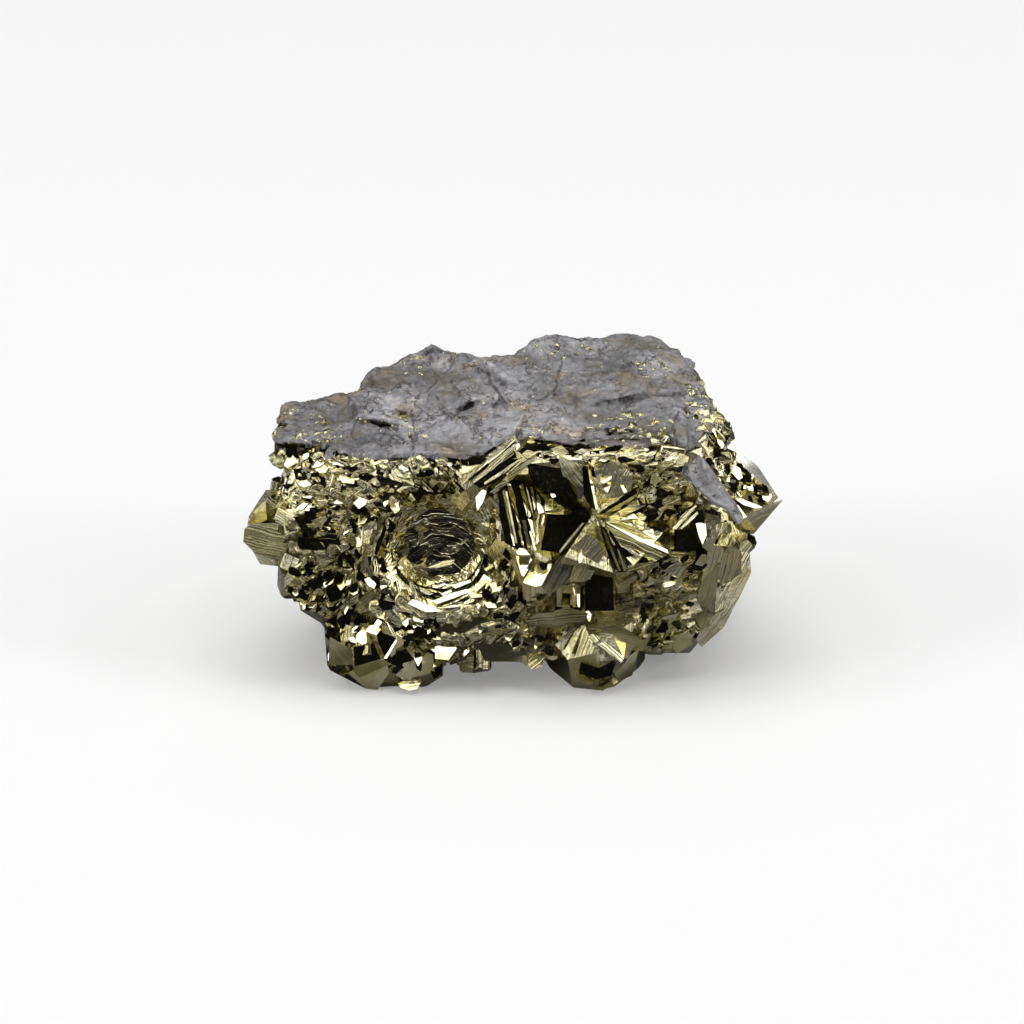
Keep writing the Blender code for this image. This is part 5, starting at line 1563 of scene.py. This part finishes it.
def crust_material(name, lightness):
    """Dull grey crust: blue-grey, brown and pale patches (the pale ones near the front edge partly painted light), dark
    crack lines, painted shade in the cut cracks, specks of pyrite, a satin sheen.
    """
    material, tree, shader, add = nodes_of(name)
    link = tree.links.new
    place = add("ShaderNodeVectorMath", operation="SCALE")
    place.inputs["Scale"].default_value = 1000.0
    link(add("ShaderNodeTexCoord").outputs["Object"], place.inputs[0])
    millimetres = place.outputs[0]

    def cloud(scale, detail, roughness=0.6, **values):
        node = add("ShaderNodeTexNoise", Scale=scale, Detail=detail, Roughness=roughness, **values)
        link(millimetres, node.inputs["Vector"])
        return node.outputs["Fac"]

    def mixed(kind, factor, first, second):
        node = add("ShaderNodeMix", data_type="RGBA", blend_type=kind)
        for socket, value in ((node.inputs["Factor"], factor), (node.inputs["A"], first),
                              (node.inputs["B"], second)):
            if isinstance(value, (float, tuple)):
                socket.default_value = value
            else:
                link(value, socket)
        return node.outputs["Result"]

    broad = ramp(add, [(stop, [lightness * c for c in colour]) for stop, colour in (
        (0.32, (0.070, 0.056, 0.042)), (0.41, (0.145, 0.134, 0.118)), (0.47, (0.195, 0.192, 0.198)),
        (0.55, (0.250, 0.246, 0.258)), (0.64, (0.43, 0.420, 0.43)))])
    link(cloud(0.16, 6.0, 0.62), broad.inputs["Fac"])
    rusty = ramp(add, ((0.54, (0.0,) * 3), (0.62, (0.8,) * 3)))
    link(cloud(0.22, 6.0, 0.68, noise_type="FBM"), rusty.inputs["Fac"])
    colour = mixed("MIX", rusty.outputs["Color"], broad.outputs["Color"], (0.27, 0.215, 0.155, 1.0))
    grain = ramp(add, ((0.36, (0.66,) * 3), (0.50, (1.0,) * 3), (0.64, (1.32,) * 3)))
    link(cloud(1.6, 5.0, 0.75), grain.inputs["Fac"])
    colour = mixed("MULTIPLY", 1.0, colour, grain.outputs["Color"])

    crazed = add("ShaderNodeTexVoronoi", feature="DISTANCE_TO_EDGE", Scale=0.20)
    warp = add("ShaderNodeTexNoise", Scale=0.55, Detail=5.0, Roughness=0.65)
    link(millimetres, warp.inputs["Vector"])
    shift = add("ShaderNodeVectorMath", operation="MULTIPLY_ADD")
    link(warp.outputs["Color"], shift.inputs[0])
    shift.inputs[1].default_value = (7.0, 7.0, 7.0)
    link(millimetres, shift.inputs[2])
    link(shift.outputs[0], crazed.inputs["Vector"])
    line = ramp(add, ((0.0, (0.10, 0.08, 0.07)), (0.018, (0.25, 0.22, 0.20)), (0.040, (1.0, 1.0, 1.0))))
    link(crazed.outputs["Distance"], line.inputs["Fac"])
    cracked = ramp(add, ((0.44, (0.0,) * 3), (0.52, (0.9,) * 3)))
    link(cloud(0.16, 2.0), cracked.inputs["Fac"])
    colour = mixed("MULTIPLY", cracked.outputs["Color"], colour, line.outputs["Color"])

    # The patches lighten or darken the colour: the crust's own tone, with painted light in the pale ones near its front
    # edge.
    patch = add("ShaderNodeMath", operation="ADD")
    patch.inputs[1].default_value = 1.0
    link(add("ShaderNodeAttribute", attribute_name=PALE).outputs["Fac"], patch.inputs[0])
    colour = mixed("MULTIPLY", 1.0, colour, patch.outputs[0])
    # Painted shade in and along the cut cracks: the marked points are mixed towards near black.
    crack_shade = add("ShaderNodeMath", operation="MULTIPLY")
    crack_shade.inputs[1].default_value = 0.85
    link(add("ShaderNodeAttribute", attribute_name=PAINTED_CRACK_SHADE).outputs["Fac"], crack_shade.inputs[0])
    colour = mixed("MIX", crack_shade.outputs[0], colour, (0.035, 0.026, 0.018, 1.0))

    shows = ramp(add, ((0.640, (0.0,) * 3), (0.660, (1.0,) * 3)))
    link(cloud(1.5, 4.0, 0.72), shows.inputs["Fac"])
    link(mixed("MIX", shows.outputs["Color"], colour, (0.70, 0.62, 0.34, 1.0)), shader.inputs["Base Color"])
    link(shows.outputs["Color"], shader.inputs["Metallic"])

    fine = cloud(0.55, 8.0, 0.58)
    gloss = add("ShaderNodeMapRange")
    gloss.inputs["From Min"].default_value = 0.35
    gloss.inputs["From Max"].default_value = 0.65
    gloss.inputs["To Min"].default_value = 0.20
    gloss.inputs["To Max"].default_value = 0.52
    link(fine, gloss.inputs["Value"])
    link(gloss.outputs["Result"], shader.inputs["Roughness"])
    bump = add("ShaderNodeBump", Strength=1.0, Distance=0.0006)
    link(fine, bump.inputs["Height"])
    link(bump.outputs["Normal"], shader.inputs["Normal"])
    return material


# ------------------------------------------------------------------------------------ light and camera


def camera():
    """The camera at the photograph's viewing angle."""
    eye = bpy.data.objects.new("camera", bpy.data.cameras.new("camera"))
    bpy.context.scene.collection.objects.link(eye)
    eye.data.lens = VIEW_LENS
    eye.data.clip_start = 0.01
    eye.location = (VIEW_MIDDLE + VIEW_DISTANCE * FRONT - DATUM) * MM
    eye.rotation_euler = (-FRONT).to_track_quat("-Z", "Y").to_euler()
    bpy.context.scene.camera = eye


def floor():
    """A plain pale floor with a faint even glow; in the metal it shows painted light instead: bright and dark by
    distance, and in dark patches.
    """
    bm = bmesh.new()
    bmesh.ops.create_grid(bm, x_segments=1, y_segments=1, size=3.0)
    mesh = bpy.data.meshes.new("floor")
    bm.to_mesh(mesh)
    bm.free()
    ground = bpy.data.objects.new("floor", mesh)
    bpy.context.scene.collection.objects.link(ground)
    material, tree, shader, add = nodes_of("pale_floor")
    shader.inputs["Roughness"].default_value = 0.9
    shader.inputs["Specular IOR Level"].default_value = 0.0
    away = add("ShaderNodeVectorMath", operation="LENGTH")
    tree.links.new(add("ShaderNodeNewGeometry").outputs["Position"], away.inputs[0])
    fade = add("ShaderNodeMath", operation="DIVIDE", use_clamp=True)
    tree.links.new(away.outputs["Value"], fade.inputs[0])
    fade.inputs[1].default_value = FLOOR_FADE
    # Painted light for the metal only: the floor's colour by distance, darkened in patches.
    mirrored = ramp(add, [(place, (tone, tone, tone)) for place, tone in FLOOR_IN_METAL])
    tree.links.new(fade.outputs[0], mirrored.inputs["Fac"])
    scale, share, dark = FLOOR_PATCHES
    patches = add("ShaderNodeTexNoise", Scale=scale, Detail=1.0)
    tree.links.new(away.inputs[0].links[0].from_socket, patches.inputs["Vector"])
    mask = ramp(add, ((share - 0.02, (dark,) * 3), (share + 0.02, (1.0,) * 3)))
    tree.links.new(patches.outputs["Fac"], mask.inputs["Fac"])
    patched = add("ShaderNodeVectorMath", operation="MULTIPLY")
    tree.links.new(mirrored.outputs["Color"], patched.inputs[0])
    tree.links.new(mask.outputs["Color"], patched.inputs[1])
    tone = add("ShaderNodeMix", data_type="RGBA")
    tree.links.new(add("ShaderNodeLightPath").outputs["Is Glossy Ray"], tone.inputs["Factor"])
    tone.inputs["A"].default_value = (*FLOOR_TONE, 1.0)
    tree.links.new(patched.outputs[0], tone.inputs["B"])
    tree.links.new(tone.outputs["Result"], shader.inputs["Base Color"])
    shader.inputs["Emission Color"].default_value = (1.0, 1.0, 1.0, 1.0)
    glow = add("ShaderNodeMath", operation="MULTIPLY_ADD")
    tree.links.new(tone.inputs["Factor"].links[0].from_socket, glow.inputs[0])
    glow.inputs[1].default_value = -FLOOR_GLOW
    glow.inputs[2].default_value = FLOOR_GLOW
    tree.links.new(glow.outputs[0], shader.inputs["Emission Strength"])
    mesh.materials.append(material)


def panel(name, place, size, strength, colour):
    """A soft box that faces the specimen."""
    light = bpy.data.lights.new(name, "AREA")
    light.shape = "RECTANGLE"
    light.size, light.size_y = size
    light.energy = strength
    light.color = colour
    lamp = bpy.data.objects.new(name, light)
    bpy.context.scene.collection.objects.link(lamp)
    lamp.location = place
    aim = Vector((0.0, 0.0, 0.01)) - Vector(place)
    lamp.rotation_euler = aim.to_track_quat("-Z", "Y").to_euler()
    lamp.visible_camera = False


def world():
    """A dim studio for the metal to mirror: dark to the front and sides, a little lighter above."""
    sky = bpy.data.worlds.new("studio")
    bpy.context.scene.world = sky
    sky.use_nodes = True
    tree = sky.node_tree
    link = tree.links.new
    add = adder(tree)
    way = add("ShaderNodeTexCoord").outputs["Generated"]
    height = add("ShaderNodeSeparateXYZ")
    link(way, height.inputs[0])
    tones = ramp(add, [(place, (tone, tone, tone)) for place, tone in WORLD_TONES])
    link(height.outputs["Z"], tones.inputs["Fac"])
    scale, share, dark = SKY_PATCHES
    patches = add("ShaderNodeTexNoise", Scale=scale, Detail=1.0)
    link(way, patches.inputs["Vector"])
    mask = ramp(add, ((share - 0.02, (dark,) * 3), (share + 0.02, (1.0,) * 3)))
    link(patches.outputs["Fac"], mask.inputs["Fac"])
    towards = add("ShaderNodeVectorMath", operation="DOT_PRODUCT")
    link(way, towards.inputs[0])
    towards.inputs[1].default_value = FRONT
    edge = math.cos(math.radians(CAMERA_SHADE))
    shade = ramp(add, ((edge - 0.02, (1.0,) * 3), (edge + 0.01, (CAMERA_SHADE_TONE,) * 3)))
    link(towards.outputs["Value"], shade.inputs["Fac"])
    for factor in (mask, shade):
        product = add("ShaderNodeVectorMath", operation="MULTIPLY")
        link(tones.outputs[0], product.inputs[0])
        link(factor.outputs["Color"], product.inputs[1])
        tones = product
    link(tones.outputs[0], tree.nodes["Background"].inputs["Color"])


specimen(pyrite_material("pyrite", 0.008), pyrite_material("pyrite_grains", 0.02),
         crust_material("grey_crust", 1.0), crust_material("pale_crust", PALER))
camera()
floor()
world()
for entry in PANELS:
    panel(*entry)
for bearing in ARCH[1]:
    panel(f"arch_{bearing}", facing(ARCH[0], bearing) * ARCH[2], ARCH[3], ARCH[4], (1.0, 1.0, 1.0))
bpy.context.scene.view_settings.view_transform = "Standard"
